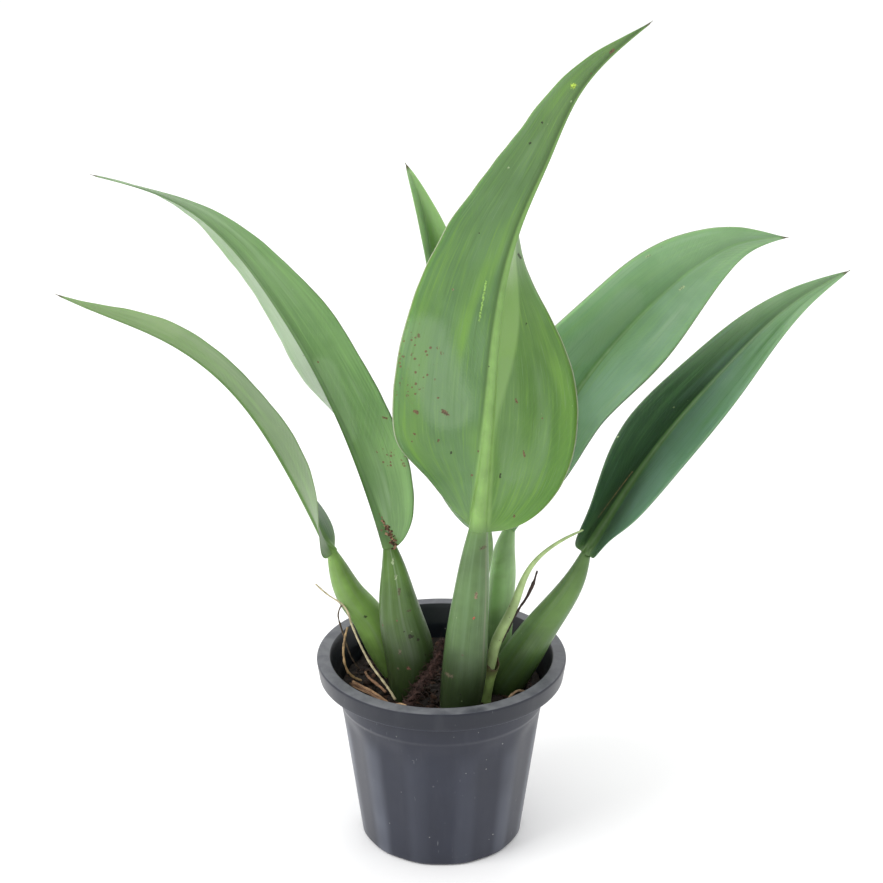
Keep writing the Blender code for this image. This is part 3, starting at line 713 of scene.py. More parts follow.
def leafLines(value):
    # rows along the stalk and then the midrib: place, ways up and aside, share, radius
    rib = evenPath(value["midrib"], 401)
    shares = np.linspace(0, 1, 401)
    along = unit(np.gradient(rib, axis=0))
    front = np.array((0, -1, 0))
    facing = unit(front - (along @ front)[:, None] * along)
    aside = np.cross(along, facing)
    roll = np.radians(naturalSpline(stations, value["roll"], shares))
    up = np.cos(roll) * facing + np.sin(roll) * aside
    length = np.linalg.norm(np.diff(rib, axis=0), axis=1).sum()
    base = 0.06 * (np.arange(1, ringValues["baseRows"] + 1) / ringValues["baseRows"]) ** 2
    body = np.linspace(0.06, 0.93, ringValues["bodyRows"])[1:]
    tip = 0.93 + 0.07 * (1 - (1 - np.linspace(0, 1, ringValues["tipRows"])[1:]) ** 1.5)
    share = np.r_[base, body, np.minimum(tip, 0.9995)]
    ribRows = np.stack([np.interp(share, shares, column) for column in rib.T], axis=1)
    ribUp = unit(np.stack([np.interp(share, shares, column) for column in up.T], axis=1))
    stalk = evenPath(value["stalk"], ringValues["stalkRows"])
    centre = np.vstack([stalk[:, :3], ribRows])
    run = np.linalg.norm(np.diff(stalk[:, :3], axis=0), axis=1)[::-1].cumsum()[::-1]
    reach = np.r_[-run, 0, share * length]  # distance from the joint, less than 0 on the stalk
    # the bend at the joint is eased over a few millimetres
    eased = centre.copy()
    for _ in range(14):
        near = np.exp(-(reach[1:-1] / 9) ** 2)[:, None]
        gap = np.diff(reach)[:, None]
        weight = gap[:-1] / (gap[:-1] + gap[1:])
        middle = eased[:-2] * (1 - weight) + eased[2:] * weight
        eased[1:-1] += near * 0.5 * (middle - eased[1:-1])
    centre = eased
    tangent = unit(np.gradient(centre, reach, axis=0))
    ups = np.vstack([np.repeat(up[:1], len(stalk), axis=0), ribUp])
    ups = unit(ups - (ups * tangent).sum(axis=1, keepdims=True) * tangent)
    radius = np.r_[stalk[:, 3], np.zeros(len(share))]
    return centre, tangent, ups, np.r_[np.full(len(stalk), -1.0), share], reach, radius, length


def makeLeafShape(name, value):
    centre, tangent, up, share, reach, radius, length = leafLines(value)
    side = np.cross(tangent, up)
    onBlade = share > 0
    s = np.where(onBlade, share, 0)
    joint = value["stalk"][-1][3]
    # midrib radius: the stalk's own at the joint, then a long taper
    ribTip = ringValues["ribTip"]
    taper = 0.45 * np.exp(-s / 0.09) + 0.55 * (1 - s) ** 1.6
    ribRadius = np.where(onBlade, ribTip + (joint - ribTip) * taper, radius)
    ribRadius = np.minimum(ribRadius, np.where(onBlade, joint, 99))
    half = np.where(onBlade, halfWidthAt(value, s), 0)
    half = np.maximum(half, 0.25)
    ribRadius = np.where(onBlade, np.minimum(ribRadius, np.maximum(half * 0.6, 0.25)), ribRadius)
    stout = np.maximum(ribRadius, joint * (1 - reach / (9 * joint)))
    ribRadius = np.where(onBlade & (reach < 3 * joint) & (share < 0.2), stout, ribRadius)
    topHeight = np.where(onBlade, 1 - smoothStep(0, 3.2 * joint, reach), 1)
    groove = smoothStep(0.5 * joint, 5 * joint, reach) * (0.25 + 0.55 * (1 - s) ** 2)
    groove = np.where(onBlade, groove * np.minimum(ribRadius, 1.6), 0)
    thick = np.where(onBlade, 0.5 - 0.18 * s, 0.5)
    fold = np.where(onBlade, np.radians(naturalSpline(stations, value["fold"], s))[:, 0], 0)
    winged = np.clip((half - ribRadius * 0.98) / (0.3 * ribRadius + 0.2), 0, 1) * onBlade
    columns = (ribRadius, topHeight, thick, winged, groove, fold, half)
    m, top, h, wing, dent, bend, wide = (column[:, None] for column in columns)
    wide = np.maximum(wide, m * 1.02)

    reachAngle = math.radians(ringValues["ribReach"])
    rest = math.pi / 2 - reachAngle
    edgeW, edgeD = m * math.sin(reachAngle), m * math.cos(reachAngle)
    grooveWide = 1.5 * m + 0.5

    phi = np.linspace(0, reachAngle, ringValues["rib"])[None]
    wA = m * np.sin(phi)
    dA = -m * np.cos(phi) - wing * h
    t = np.linspace(0, 1, ringValues["wing"] + 1)[1:][None]
    arc = reachAngle + rest * t
    w = edgeW + (wide - edgeW) * t ** 1.25
    x = w / wide
    skin = h * (1 - 0.45 * x * x) * np.sqrt(np.maximum(0, 1 - x ** 14))
    fillet = np.exp(-(w - edgeW) / (0.45 * m + 0.1))
    wB = wing * w + (1 - wing) * m * np.sin(arc)
    dB = wing * (-skin - edgeD * fillet) + (1 - wing) * -m * np.cos(arc)
    t2 = t[:, ::-1]
    arc2 = math.pi / 2 + rest * (1 - t2)
    w2 = edgeW + (wide - edgeW) * t2 ** 1.25
    x2 = w2 / wide
    skin2 = h * (1 - 0.45 * x2 * x2) * np.sqrt(np.maximum(0, 1 - x2 ** 14))
    fillet2 = np.exp(-(w2 - edgeW) / (0.45 * m + 0.1))
    wC = wing * w2 + (1 - wing) * m * np.sin(arc2)
    dC = wing * (skin2 + edgeD * top * fillet2 - dent * np.exp(-(w2 / grooveWide) ** 2))
    dC = dC + (1 - wing) * -m * np.cos(arc2) * top
    phi2 = np.linspace(math.pi - reachAngle, math.pi, ringValues["top"])[1:][None]
    wD = m * np.sin(phi2)
    dD = -m * np.cos(phi2) * top + wing * (h - dent * np.exp(-(wD / grooveWide) ** 2))
    wHalf = np.concatenate([wA, wB, wC[:, 1:], wD], axis=1)
    dHalf = np.concatenate([dA, dB, dC[:, 1:], dD], axis=1)
    underCount, topCount = wA.shape[1] + wB.shape[1], wC.shape[1] - 1 + wD.shape[1]
    under = np.r_[np.ones(underCount), np.zeros(topCount)][None]
    # the other half is the same, taken backwards, without the first and last points
    w = np.concatenate([wHalf, wHalf[:, -2:0:-1]], axis=1)
    d = np.concatenate([dHalf, dHalf[:, -2:0:-1]], axis=1)
    sign = np.r_[np.ones(wHalf.shape[1]), -np.ones(wHalf.shape[1] - 2)][None]
    under = np.concatenate([under, under[:, -2:0:-1]], axis=1)
    # either half may be trimmed or let out near the base
    near = np.exp(-((s - 0.07) / 0.075) ** 2)[:, None]
    grow = 1 - near * np.where(sign > 0, value["trim"][0], value["trim"][1])
    w = np.where((wing > 0.5) & (w > m), m + (w - m) * grow, w)

    # the lamina: folded along the midrib with a round bottom, arched across, with a rippled margin
    bendRound = 1.2 * m + 1.5
    x = w / wide
    ripple = np.zeros_like(w)
    shift = 10 * value["seed"]
    for i, distance in enumerate(reach):
        if onBlade[i]:
            right, left = (noise.noise(Vector((distance / 34, shift, slow)))
                           + 0.5 * noise.noise(Vector((distance / 13, shift, quick)))
                           for slow, quick in ((0, 4), (9, 13)))
            ripple[i] = np.where(sign[0] > 0, right, left)
    fade = (smoothStep(0, 25, reach) * (1 - smoothStep(0.85, 1, s)))[:, None] * wing
    bow = value["camber"] * wide * 4 * x * (1 - x)
    wave = value["ripple"] * ripple * x * x * fade
    foldNow = bend * wing
    across = w * np.cos(foldNow) + (1 - np.cos(foldNow)) * bendRound * np.tanh(w / bendRound)
    lift = np.sin(foldNow) * (np.sqrt(w * w + bendRound**2) - bendRound) + (bow + wave) * wing
    slopeX = np.cos(foldNow) + (1 - np.cos(foldNow)) / np.cosh(w / bendRound) ** 2
    slopeY = np.sin(foldNow) * w / np.sqrt(w * w + bendRound**2)
    slopeY = slopeY + value["camber"] * 4 * (1 - 2 * x) * wing * np.tanh(w / bendRound)
    size = np.hypot(slopeX, slopeY)
    p = sign * (across - d * slopeY / size)
    q = lift + d * slopeX / size
    points = centre[:, None] + side[:, None] * p[..., None] + up[:, None] * q[..., None]

    rows, ring = w.shape
    flat = points.reshape(-1, 3)
    faces = loftFaces(rows, ring)
    flat = np.vstack([flat, centre[0], centre[-1] + tangent[-1] * 0.4])
    for j in range(ring):
        k = (j + 1) % ring
        faces.append((rows * ring, k, j))
        faces.append((rows * ring + 1, (rows - 1) * ring + j, (rows - 1) * ring + k))
    flat = (flat + np.array((0, 0, soilTop))) * mm
    leaf = addMesh(name, flat, faces)
    faceOut(leaf)

    def withEnds(values):
        # the two closing points take the values of the first ring and the last
        spread = np.broadcast_to(values, w.shape)
        return np.r_[spread.ravel(), spread[0, 0], spread[-1, 0]]

    beyondRib = np.maximum(w - m, 0)
    shareAcross = np.where(wing > 0.5, np.clip(w / (m + (wide - m) * grow), 0, 1), 0)
    setMask(leaf, "across", withEnds(sign * shareAcross))
    setMask(leaf, "along", withEnds(reach[:, None] * mm))
    setMask(leaf, "aside", withEnds(w * mm * wing))
    setMask(leaf, "underside", withEnds(under))
    setMask(leaf, "ribNear", withEnds(np.where(wing > 0.5, np.exp(-beyondRib / (0.5 * m + 0.6)), 1)))
    setMask(leaf, "tipNear", withEnds(smoothStep(0.45, 0.95, s)[:, None]))
    setMask(leaf, "ribGap", withEnds(np.where(wing > 0.5, sign * beyondRib, 0)))
    around = np.arctan2(sign * w, -d)
    setMask(leaf, "around", withEnds(np.where(onBlade[:, None], 0, around)))
    return leaf, length


def paintMarks(tree, place, colour, marks):
    # single spots and strokes, each from x, z by a run of x, z
    cover = 0.0
    crumbly = ramp(tree, cloud(tree, place, 1100.0, 2.0), 0.38, 0.56)
    for tint, x, z, runX, runZ, reach in marks:
        mask = useGroup(tree, strokeMark, Place=place, Start=(x * mm, 0, (z + soilTop) * mm),
                        Run=(runX * mm, 0, runZ * mm), Reach=reach * mm).outputs[0]
        shade = blendColour(tree, crumbly, times(markTints[tint], 0.45), times(markTints[tint], 1.15))
        colour = blendColour(tree, calc(tree, "MULTIPLY", mask, 0.85), colour, shade)
        cover = calc(tree, "MAXIMUM", cover, mask)
    return colour, cover


def makeLeafSkin(name, value, length):
    material, tree, shader = newMaterial(name + "Skin", Specular_IOR_Level=0.42)
    shader.inputs["Subsurface Weight"].default_value = 0.22
    shader.inputs["Subsurface Radius"].default_value = (0.6, 1.0, 0.25)
    shader.inputs["Subsurface Scale"].default_value = 0.002
    place = objectPlace(tree)
    across, along, aside = readMask(tree, "across"), readMask(tree, "along"), readMask(tree, "aside")
    underside, ribNear, tipNear = (readMask(tree, n) for n in ("underside", "ribNear", "tipNear"))
    ribGap, around = readMask(tree, "ribGap"), readMask(tree, "around")
    onStalk = ramp(tree, along, -0.004, 0.01, 1.0, 0.0)
    share = calc(tree, "DIVIDE", along, length * mm, clamp=True)

    # lamina: a colour for each half, slow patches of pale bloom, partly painted sheen, and of brighter green
    half = ramp(tree, ribGap, -0.5, 0.5)
    plain = blendColour(tree, half, value["minus"], value["plus"])
    lamina = blendColour(tree, calc(tree, "MULTIPLY", tipNear, 0.8), plain, value["tipTint"])
    cloudy = useGroup(tree, mottle, Place=place, Dark=(0.80, 0.86, 0.78), Light=(1.14, 1.10, 1.16),
                      Scale=30.0, Contrast=1.0).outputs["Color"]
    lamina = blendColour(tree, 1.0, lamina, cloudy, "MULTIPLY")
    bandPlace = placeOn(tree, calc(tree, "MULTIPLY", across, 3.2), calc(tree, "MULTIPLY", along, 11.0),
                        calc(tree, "MULTIPLY_ADD", underside, 7.0, float(value["seed"])))
    band = cloud(tree, bandPlace, 1.0, 2.0, 0.5, 0.3)
    lamina = blendColour(tree, ramp(tree, band, 0.48, 0.78, 0.0, 0.75), lamina, value["bright"])
    # painted sheen: the pale patches in the bloom colour stand in, in part, for the soft sheen on the blade
    lamina = blendColour(tree, ramp(tree, band, 0.20, 0.46, 0.6, 0.0), lamina, value["bloomAndSheen"])

    # streaks that run lengthwise, drawn together towards the tip
    streakPlace = placeOn(tree, calc(tree, "MULTIPLY", across, 26.0), calc(tree, "MULTIPLY", along, 22.0),
                          calc(tree, "MULTIPLY_ADD", underside, 5.0, float(value["seed"])))
    streak = cloud(tree, streakPlace, 1.0, 4.0, 0.6)
    lamina = blendColour(tree, ramp(tree, streak, 0.50, 0.72, 0.0, 0.55), lamina, value["bright"])
    lamina = blendColour(tree, ramp(tree, streak, 0.26, 0.48, 0.45, 0.0), lamina,
                         times(value["minus"], 0.66))
    # fine pale lines in the bloom colour, partly painted sheen
    hairPlace = placeOn(tree, calc(tree, "MULTIPLY", across, 75.0), calc(tree, "MULTIPLY", along, 45.0), 3.0)
    hair = cloud(tree, hairPlace, 1.0, 2.0, 0.6)
    lamina = blendColour(tree, ramp(tree, hair, 0.56, 0.74, 0.0, 0.30), lamina, value["bloomAndSheen"])

    # fine side veins that leave the midrib slanting towards the tip
    slant = calc(tree, "POWER", calc(tree, "MAXIMUM", aside, 0.0), 0.8)
    veinLine = calc(tree, "MULTIPLY_ADD", slant, -0.9, along)
    veinLine = calc(tree, "MULTIPLY_ADD", cloud(tree, place, 50.0, 2.0), 0.006, veinLine)
    wave = calc(tree, "SINE", calc(tree, "MULTIPLY", veinLine, math.tau / 0.0052))
    smallWave = calc(tree, "SINE", calc(tree, "MULTIPLY", veinLine, math.tau / 0.0013))
    veinShow = calc(tree, "MULTIPLY", ramp(tree, wave, 0.3, 1.0), calc(tree, "SUBTRACT", 1.0, ribNear))
    veinShow = calc(tree, "MULTIPLY", veinShow, ramp(tree, cloud(tree, place, 22.0, 2.0), 0.4, 0.65))
    lamina = blendColour(tree, calc(tree, "MULTIPLY", veinShow, 0.10), lamina, value["bright"])
    lamina = blendColour(tree, ramp(tree, smallWave, -1.0, 1.0, 0.0, 0.05), lamina, value["ribTint"])

    # painted highlight: a bright band on the flank to one side of the midrib; painted shade: a dark crease on
    # the other
    highlightSide, highlightReach, highlightStrength = value["flankHighlight"]
    flank = calc(tree, "MULTIPLY", ribGap, float(highlightSide))
    highlightWide = calc(tree, "MULTIPLY", ramp(tree, share, 0.16, 0.5), highlightReach)
    flankHighlight = ramp(tree, calc(tree, "SUBTRACT", flank, highlightWide), -1.5, 2.5, 1.0, 0.0)
    flankHighlight = calc(tree, "MULTIPLY", flankHighlight, calc(tree, "GREATER_THAN", flank, 0.0))
    lamina = blendColour(tree, calc(tree, "MULTIPLY", flankHighlight, highlightStrength), lamina, value["ribTint"])
    # painted shade: a dark line is painted in the crease beside the midrib
    creaseShadeSide, creaseShadeStrength = value["creaseShade"]
    creaseShade = calc(tree, "MULTIPLY", ribGap, float(creaseShadeSide))
    creaseShade = calc(tree, "MULTIPLY", ramp(tree, creaseShade, 0.0, 0.25), ramp(tree, creaseShade, 0.5, 4.5, 1.0, 0.0))
    creaseShade = calc(tree, "MULTIPLY", creaseShade, ramp(tree, share, 0.08, 0.3))
    lamina = blendColour(tree, calc(tree, "MULTIPLY", creaseShade, creaseShadeStrength), lamina,
                         times(value["minus"], 0.55))

    # painted sheen: soft pale patches in the bloom colour where the blade catches a broad reflection
    for x, z, runX, runZ, reach, strength in value["sheenPatches"]:
        soft = useGroup(tree, strokeMark, Place=place, Start=(x * mm, 0, (z + soilTop) * mm),
                        Run=(runX * mm, 0, runZ * mm), Reach=reach * mm, Fray=0.3).outputs[0]
        soft = calc(tree, "MULTIPLY", calc(tree, "MULTIPLY", soft, soft), strength)
        soft = calc(tree, "MULTIPLY", soft, ramp(tree, streak, 0.3, 0.6, 0.7, 1.0))
        lamina = blendColour(tree, soft, lamina, value["bloomAndSheen"])

    # midrib and stalk: pale lengthwise streaks, a pale ridge down one side, and painted shade that darkens
    # the stalk near the soil
    ribColour = useGroup(tree, mottle, Place=place, Dark=times(value["ribTint"], 0.85),
                         Light=times(value["ribTint"], 1.12), Scale=70.0, Contrast=0.7).outputs["Color"]
    stalkColour = useGroup(tree, mottle, Place=place, Dark=times(value["stalkTint"], 0.72),
                           Light=times(value["stalkTint"], 1.25), Scale=45.0, Contrast=0.9).outputs["Color"]
    widePlace = placeOn(tree, calc(tree, "MULTIPLY", around, 2.2), calc(tree, "MULTIPLY", along, 9.0), 2.0)
    wide = cloud(tree, widePlace, 1.0, 2.0, 0.5)
    stalkColour = blendColour(tree, ramp(tree, wide, 0.45, 0.75, 0.0, 0.36), stalkColour,
                              times(value["bloomAndSheen"], 0.95))
    finePlace = placeOn(tree, calc(tree, "MULTIPLY", around, 22.0), calc(tree, "MULTIPLY", along, 26.0), 5.0)
    fine = cloud(tree, finePlace, 1.0, 4.0, 0.65)
    stalkColour = blendColour(tree, ramp(tree, fine, 0.56, 0.80, 0.0, 0.26), stalkColour, (0.30, 0.38, 0.22))
    stalkColour = blendColour(tree, ramp(tree, fine, 0.24, 0.44, 0.4, 0.0), stalkColour,
                              times(value["stalkTint"], 0.6))
    ridgeSide, ridgeTint = value["ridge"]
    ridge = calc(tree, "ABSOLUTE", calc(tree, "ADD", around, -1.45 * ridgeSide))
    stalkColour = blendColour(tree, ramp(tree, ridge, 0.01, 0.10, 0.28, 0.0), stalkColour, ridgeTint)
    height = heightOf(tree, place)
    # painted shade: the stalk is painted darker towards the soil, where the pot's wall shades it
    soilShade = ramp(tree, calc(tree, "MULTIPLY_ADD", fine, 0.02, height), (soilTop + value["soilShade"][0]) * mm,
                (soilTop + value["soilShade"][1]) * mm, value["soilShade"][2], 0.0)
    stalkColour = blendColour(tree, soilShade, stalkColour, (0.018, 0.030, 0.010))
    ribColour = blendColour(tree, onStalk, ribColour, stalkColour)
    ribShare = ramp(tree, ribNear, 0.35, 0.95)
    ribFade = calc(tree, "MULTIPLY", ribShare, ramp(tree, share, 0.0, 1.0, 0.95, 0.35))
    ribStrength = calc(tree, "MAXIMUM", ribFade, onStalk)
    colour = blendColour(tree, ribStrength, lamina, ribColour)

    # thin pale margin
    inside = calc(tree, "SUBTRACT", 1.0, calc(tree, "ABSOLUTE", across))
    colour = blendColour(tree, ramp(tree, inside, 0.004, 0.016, 0.85, 0.0), colour, value["edgeTint"])

    # brown specks here and there, crowded where dirt has splashed, and the single marks
    crowd = 0.0
    for x, z, reach in value["dirt"]:
        crowd = calc(tree, "MAXIMUM", crowd, useGroup(
            tree, strokeMark, Place=place, Start=(x * mm, 0, (z + soilTop) * mm), Run=(0.0, 0.0, 0.0),
            Reach=2 * reach * mm).outputs[0])
    few = useGroup(tree, speckles, Place=place, Scale=230.0, Amount=0.012, Size=0.10).outputs[0]
    many = useGroup(tree, speckles, Place=place, Scale=480.0, Amount=0.30, Size=0.30).outputs[0]
    larger = useGroup(tree, speckles, Place=place, Scale=230.0, Amount=0.24, Size=0.22).outputs[0]
    specks = calc(tree, "MAXIMUM", few, calc(tree, "MULTIPLY", crowd, calc(tree, "MAXIMUM", many, larger)))
    colour = blendColour(tree, calc(tree, "MULTIPLY", specks, 0.8), colour, markTints["brown"])
    colour, marked = paintMarks(tree, place, colour, value["marks"])
    flecks = useGroup(tree, speckles, Place=place, Scale=340.0, Amount=0.02, Size=0.08).outputs[0]
    colour = blendColour(tree, calc(tree, "MULTIPLY", flecks, 0.4), colour, markTints["pale"])

    # the very tip is dried brown
    dry = ramp(tree, along, (length - 6) * mm, (length - 2) * mm)
    colour = blendColour(tree, calc(tree, "MULTIPLY", dry, 0.85), colour, (0.07, 0.03, 0.02))
    tree.links.new(colour, shader.inputs["Base Color"])

    grain = useGroup(tree, fineGrain, Place=place, Scale=1100.0, Coarse=0.45).outputs[0]
    rough = calc(tree, "MULTIPLY_ADD", grain, 0.1, value["roughness"] - 0.05)
    rough = calc(tree, "MULTIPLY_ADD", streak, 0.14, calc(tree, "SUBTRACT", rough, 0.07))
    rough = calc(tree, "MULTIPLY_ADD", calc(tree, "MAXIMUM", specks, marked), 0.3, rough, clamp=True)
    tree.links.new(rough, shader.inputs["Roughness"])
    relief = calc(tree, "MULTIPLY_ADD", veinShow, calc(tree, "MULTIPLY_ADD", underside, 1.2, -0.6), grain)
    relief = calc(tree, "MULTIPLY_ADD", streak, 0.9, relief)
    offRib = calc(tree, "SUBTRACT", 1.0, ribNear)
    relief = calc(tree, "MULTIPLY_ADD", calc(tree, "MULTIPLY", smallWave, offRib), 0.08, relief)
    relief = calc(tree, "MULTIPLY_ADD", calc(tree, "MULTIPLY", fine, onStalk), 1.2, relief)
    relief = calc(tree, "MULTIPLY_ADD", specks, 1.2, relief)
    addBump(tree, shader, relief, 0.00012, 0.7)
    return material


for leafName, leafValue in leafValues.items():
    leaf, bladeLength = makeLeafShape(leafName, leafValue)
    leaf.data.materials.append(makeLeafSkin(leafName, leafValue, bladeLength))
    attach(leaf, "root")
    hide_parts(*leafValue["nodes"])
print("leaves made")

# tubes: young spear, its sheath, dry stub, rhizome and roots


def tubePoints(points, rows, ring, bumpy=0.0, bumpSize=3.0, seed=0):
    # a round stem along points of x, y, z, radius; bumpy swells and pinches it
    path = evenPath(points, rows)
    centre, radius = path[:, :3], path[:, 3]
    tangent = unit(np.gradient(centre, axis=0))
    first = np.cross(tangent[0], (0.3, 0.8, 0.5))
    ups = [first / np.linalg.norm(first)]
    for i in range(1, rows):
        carried = ups[-1] - (ups[-1] @ tangent[i]) * tangent[i]
        ups.append(carried / np.linalg.norm(carried))
    ups = np.array(ups)
    sides = np.cross(tangent, ups)
    angle = np.linspace(0, math.tau, ring, endpoint=False)
    made = np.zeros((rows, ring, 3))
    for i in range(rows):
        for j in range(ring):
            way = ups[i] * math.cos(angle[j]) + sides[i] * math.sin(angle[j])
            here = centre[i] + way * radius[i]
            swell = noise.noise(Vector(here / bumpSize) + Vector((seed, 0, 0))) if bumpy else 0
            made[i, j] = centre[i] + way * radius[i] * (1 + bumpy * swell)
    return made, centre, tangent


def tubeMesh(made, centre, first=0):
    rows, ring = made.shape[:2]
    points = np.vstack([made.reshape(-1, 3), centre[0], centre[-1]])
    faces = [tuple(first + i for i in face) for face in loftFaces(rows, ring)]
    for j in range(ring):
        k = (j + 1) % ring
        faces.append((first + rows * ring, first + k, first + j))
        faces.append((first + rows * ring + 1, first + (rows - 1) * ring + j, first + (rows - 1) * ring + k))
    return points, faces


def lifted(points):
    return (np.asarray(points) + np.array((0, 0, soilTop))) * mm


rootValues = {
    "rootLongPale": ("root_long_pale", (0.47, 0.41, 0.25),
                     ((-74, -10, 71, 0.5), (-65, -12, 63.5, 0.5), (-57, -14, 58, 0.5), (-53.5, -17, 50, 0.6),
                      (-48, -21, 37, 0.6), (-41, -26, 25, 0.7), (-33, -30, 15, 0.7), (-27, -34, 7, 0.8))),
    "rootDarkLoop": ("root_dark_loop", (0.10, 0.07, 0.045),
                     ((-56, 1, 47, 0.5), (-59, 2, 51, 0.5), (-61.5, 3, 46, 0.5), (-61, 4, 38, 0.5),
                      (-58, 5, 26, 0.5), (-54, 6, 13, 0.5), (-50, 8, 5, 0.5))),
    "rootTanArch": ("root_tan_arch", (0.40, 0.27, 0.13),
                    ((-56, -3, 39, 0.6), (-58, -5, 31, 0.7), (-58.5, -7, 22, 0.7), (-57, -8, 14, 0.7),
                     (-53, -6, 7, 0.7), (-48, -5, 4, 0.7))),
    "rootStrandOuter": ("root_strand_outer", (0.42, 0.25, 0.13),
                        ((-53, -10, 6, 0.7), (-48, -17, 7, 0.8), (-42, -25, 8, 0.8), (-34, -32, 6, 0.8),
                         (-28, -37, 3, 0.8))),
    "rootStrandInner": ("root_strand_inner", (0.24, 0.13, 0.07),
                        ((-46, 2, 6, 0.7), (-44, -6, 7, 0.8), (-38, -16, 7, 0.8), (-33, -23, 6, 0.8))),
    "rootRim": ("root_rim", (0.30, 0.19, 0.10), ((-47, -28, 3, 0.7), (-43, -31, 5, 0.8), (-37, -36, 4, 0.7))),
    "rootArc": ("root_arc", (0.46, 0.29, 0.16),
                ((-32, -42, 3, 0.7), (-28, -43, 8, 0.8), (-22, -44, 9, 0.8), (-17, -46, 3, 0.7))),
    "rootRight": ("root_right", (0.42, 0.28, 0.17),
                  ((50, -20, 4, 0.7), (46, -25, 8, 0.8), (42, -29, 8, 0.8), (37, -34, 3, 0.7))),
}


def makeDryMaterial(name, tint, rough=0.75, bump=0.00015):
    material, tree, shader = newMaterial(name)
    place = objectPlace(tree)
    base = useGroup(tree, mottle, Place=place, Dark=times(tint, 0.45), Light=times(tint, 1.25),
                    Scale=260.0, Contrast=0.9).outputs["Color"]
    spots = useGroup(tree, speckles, Place=place, Scale=700.0, Amount=0.25, Size=0.25).outputs[0]
    base = blendColour(tree, calc(tree, "MULTIPLY", spots, 0.5), base, times(tint, 0.3))
    tree.links.new(base, shader.inputs["Base Color"])
    grain = useGroup(tree, fineGrain, Place=place, Scale=1600.0, Coarse=0.5).outputs[0]
    tree.links.new(calc(tree, "MULTIPLY_ADD", grain, 0.2, rough - 0.1), shader.inputs["Roughness"])
    addBump(tree, shader, calc(tree, "SUBTRACT", grain, calc(tree, "MULTIPLY", spots, 0.5)), bump, 1.0)
    return material


for rootName, (node, tint, line) in rootValues.items():
    made, centre, _ = tubePoints(line, 60, 12, bumpy=0.45, bumpSize=2.2, seed=len(rootName))
    points, faces = tubeMesh(made, centre)
    root = addMesh(rootName, lifted(points), faces)
    faceOut(root)
    root.data.materials.append(makeDryMaterial(rootName + "Bark", tint))
    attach(root, "root")
    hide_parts(node)

youngValues = {
    "spear": ((25, -20, -7, 2.8), (25, -21, 3, 2.8), (29, -21, 23, 2.9), (32, -21, 38, 3.2),
              (38, -22, 53, 3), (43, -23, 66, 2.6), (47, -24, 79, 2), (52, -25, 90, 1.5),
              (62, -27, 102, 1.1), (74, -29, 111, 0.8), (81, -30, 115, 0.5)),
    "sheath": ((25, -20, -7, 4.6), (25, -21, 3, 4.9), (28, -21, 18, 4.7), (31, -21, 32, 4.3)),
    "stub": ((35, -17, 36, 0.9), (39, -16.5, 44, 0.9), (43, -16, 53, 0.8), (49, -15, 63, 0.8),
             (54, -14, 74, 0.8), (56, -13, 81, 0.5)),
    "rhizome": ((-20, -36, -6, 2.4), (-20, -36, 2, 2.6), (-17, -35, 9, 2.5), (-12, -32, 16, 2.3),
                (-6, -28, 23, 2.1), (-1, -22, 32, 1.9), (1, -19, 39, 1.6)),
    "spearTint": (0.34, 0.46, 0.19), "sheathTint": (0.25, 0.37, 0.11), "tornTint": (0.07, 0.038, 0.022),
    "stubTint": (0.045, 0.026, 0.022), "rhizomeTint": (0.042, 0.018, 0.013),
}


def makeYoungSkin(name, tint, dark, brown=None, brownFrom=0.0, brownTo=1.0):
    material, tree, shader = newMaterial(name, Specular_IOR_Level=0.45)
    place = objectPlace(tree)
    base = useGroup(tree, mottle, Place=place, Dark=times(tint, dark), Light=times(tint, 1.2),
                    Scale=90.0, Contrast=0.8).outputs["Color"]
    specks = useGroup(tree, speckles, Place=place, Scale=380.0, Amount=0.06, Size=0.16).outputs[0]
    base = blendColour(tree, calc(tree, "MULTIPLY", specks, 0.6), base, (0.09, 0.06, 0.03))
    if brown:
        height = heightOf(tree, place)
        frayed = calc(tree, "MULTIPLY_ADD", cloud(tree, place, 260.0, 3.0), 0.012, height)
        base = blendColour(tree, ramp(tree, frayed, brownFrom, brownTo), base, brown)
    tree.links.new(base, shader.inputs["Base Color"])
    grain = useGroup(tree, fineGrain, Place=place, Scale=1300.0, Coarse=0.5).outputs[0]
    tree.links.new(calc(tree, "MULTIPLY_ADD", grain, 0.15, 0.36), shader.inputs["Roughness"])
    addBump(tree, shader, grain, 0.00008, 0.6)
    return material


def makeSpear():
    made, centre, _ = tubePoints(youngValues["spear"], 150, 32)
    ring = made.shape[1]
    # rolled like a scroll: one edge laps over the other along a slowly turning seam
    for i in range(len(made)):
        for j in range(ring):
            turn = (j / ring + i / len(made) * 0.35) % 1
            made[i, j] = centre[i] + (made[i, j] - centre[i]) * (0.93 + 0.13 * turn)
    points, faces = tubeMesh(made, centre)
    spear = addMesh("youngSpear", lifted(points), faces)
    faceOut(spear)
    spear.data.materials.append(makeYoungSkin("spearSkin", youngValues["spearTint"], 0.7))
    return spear


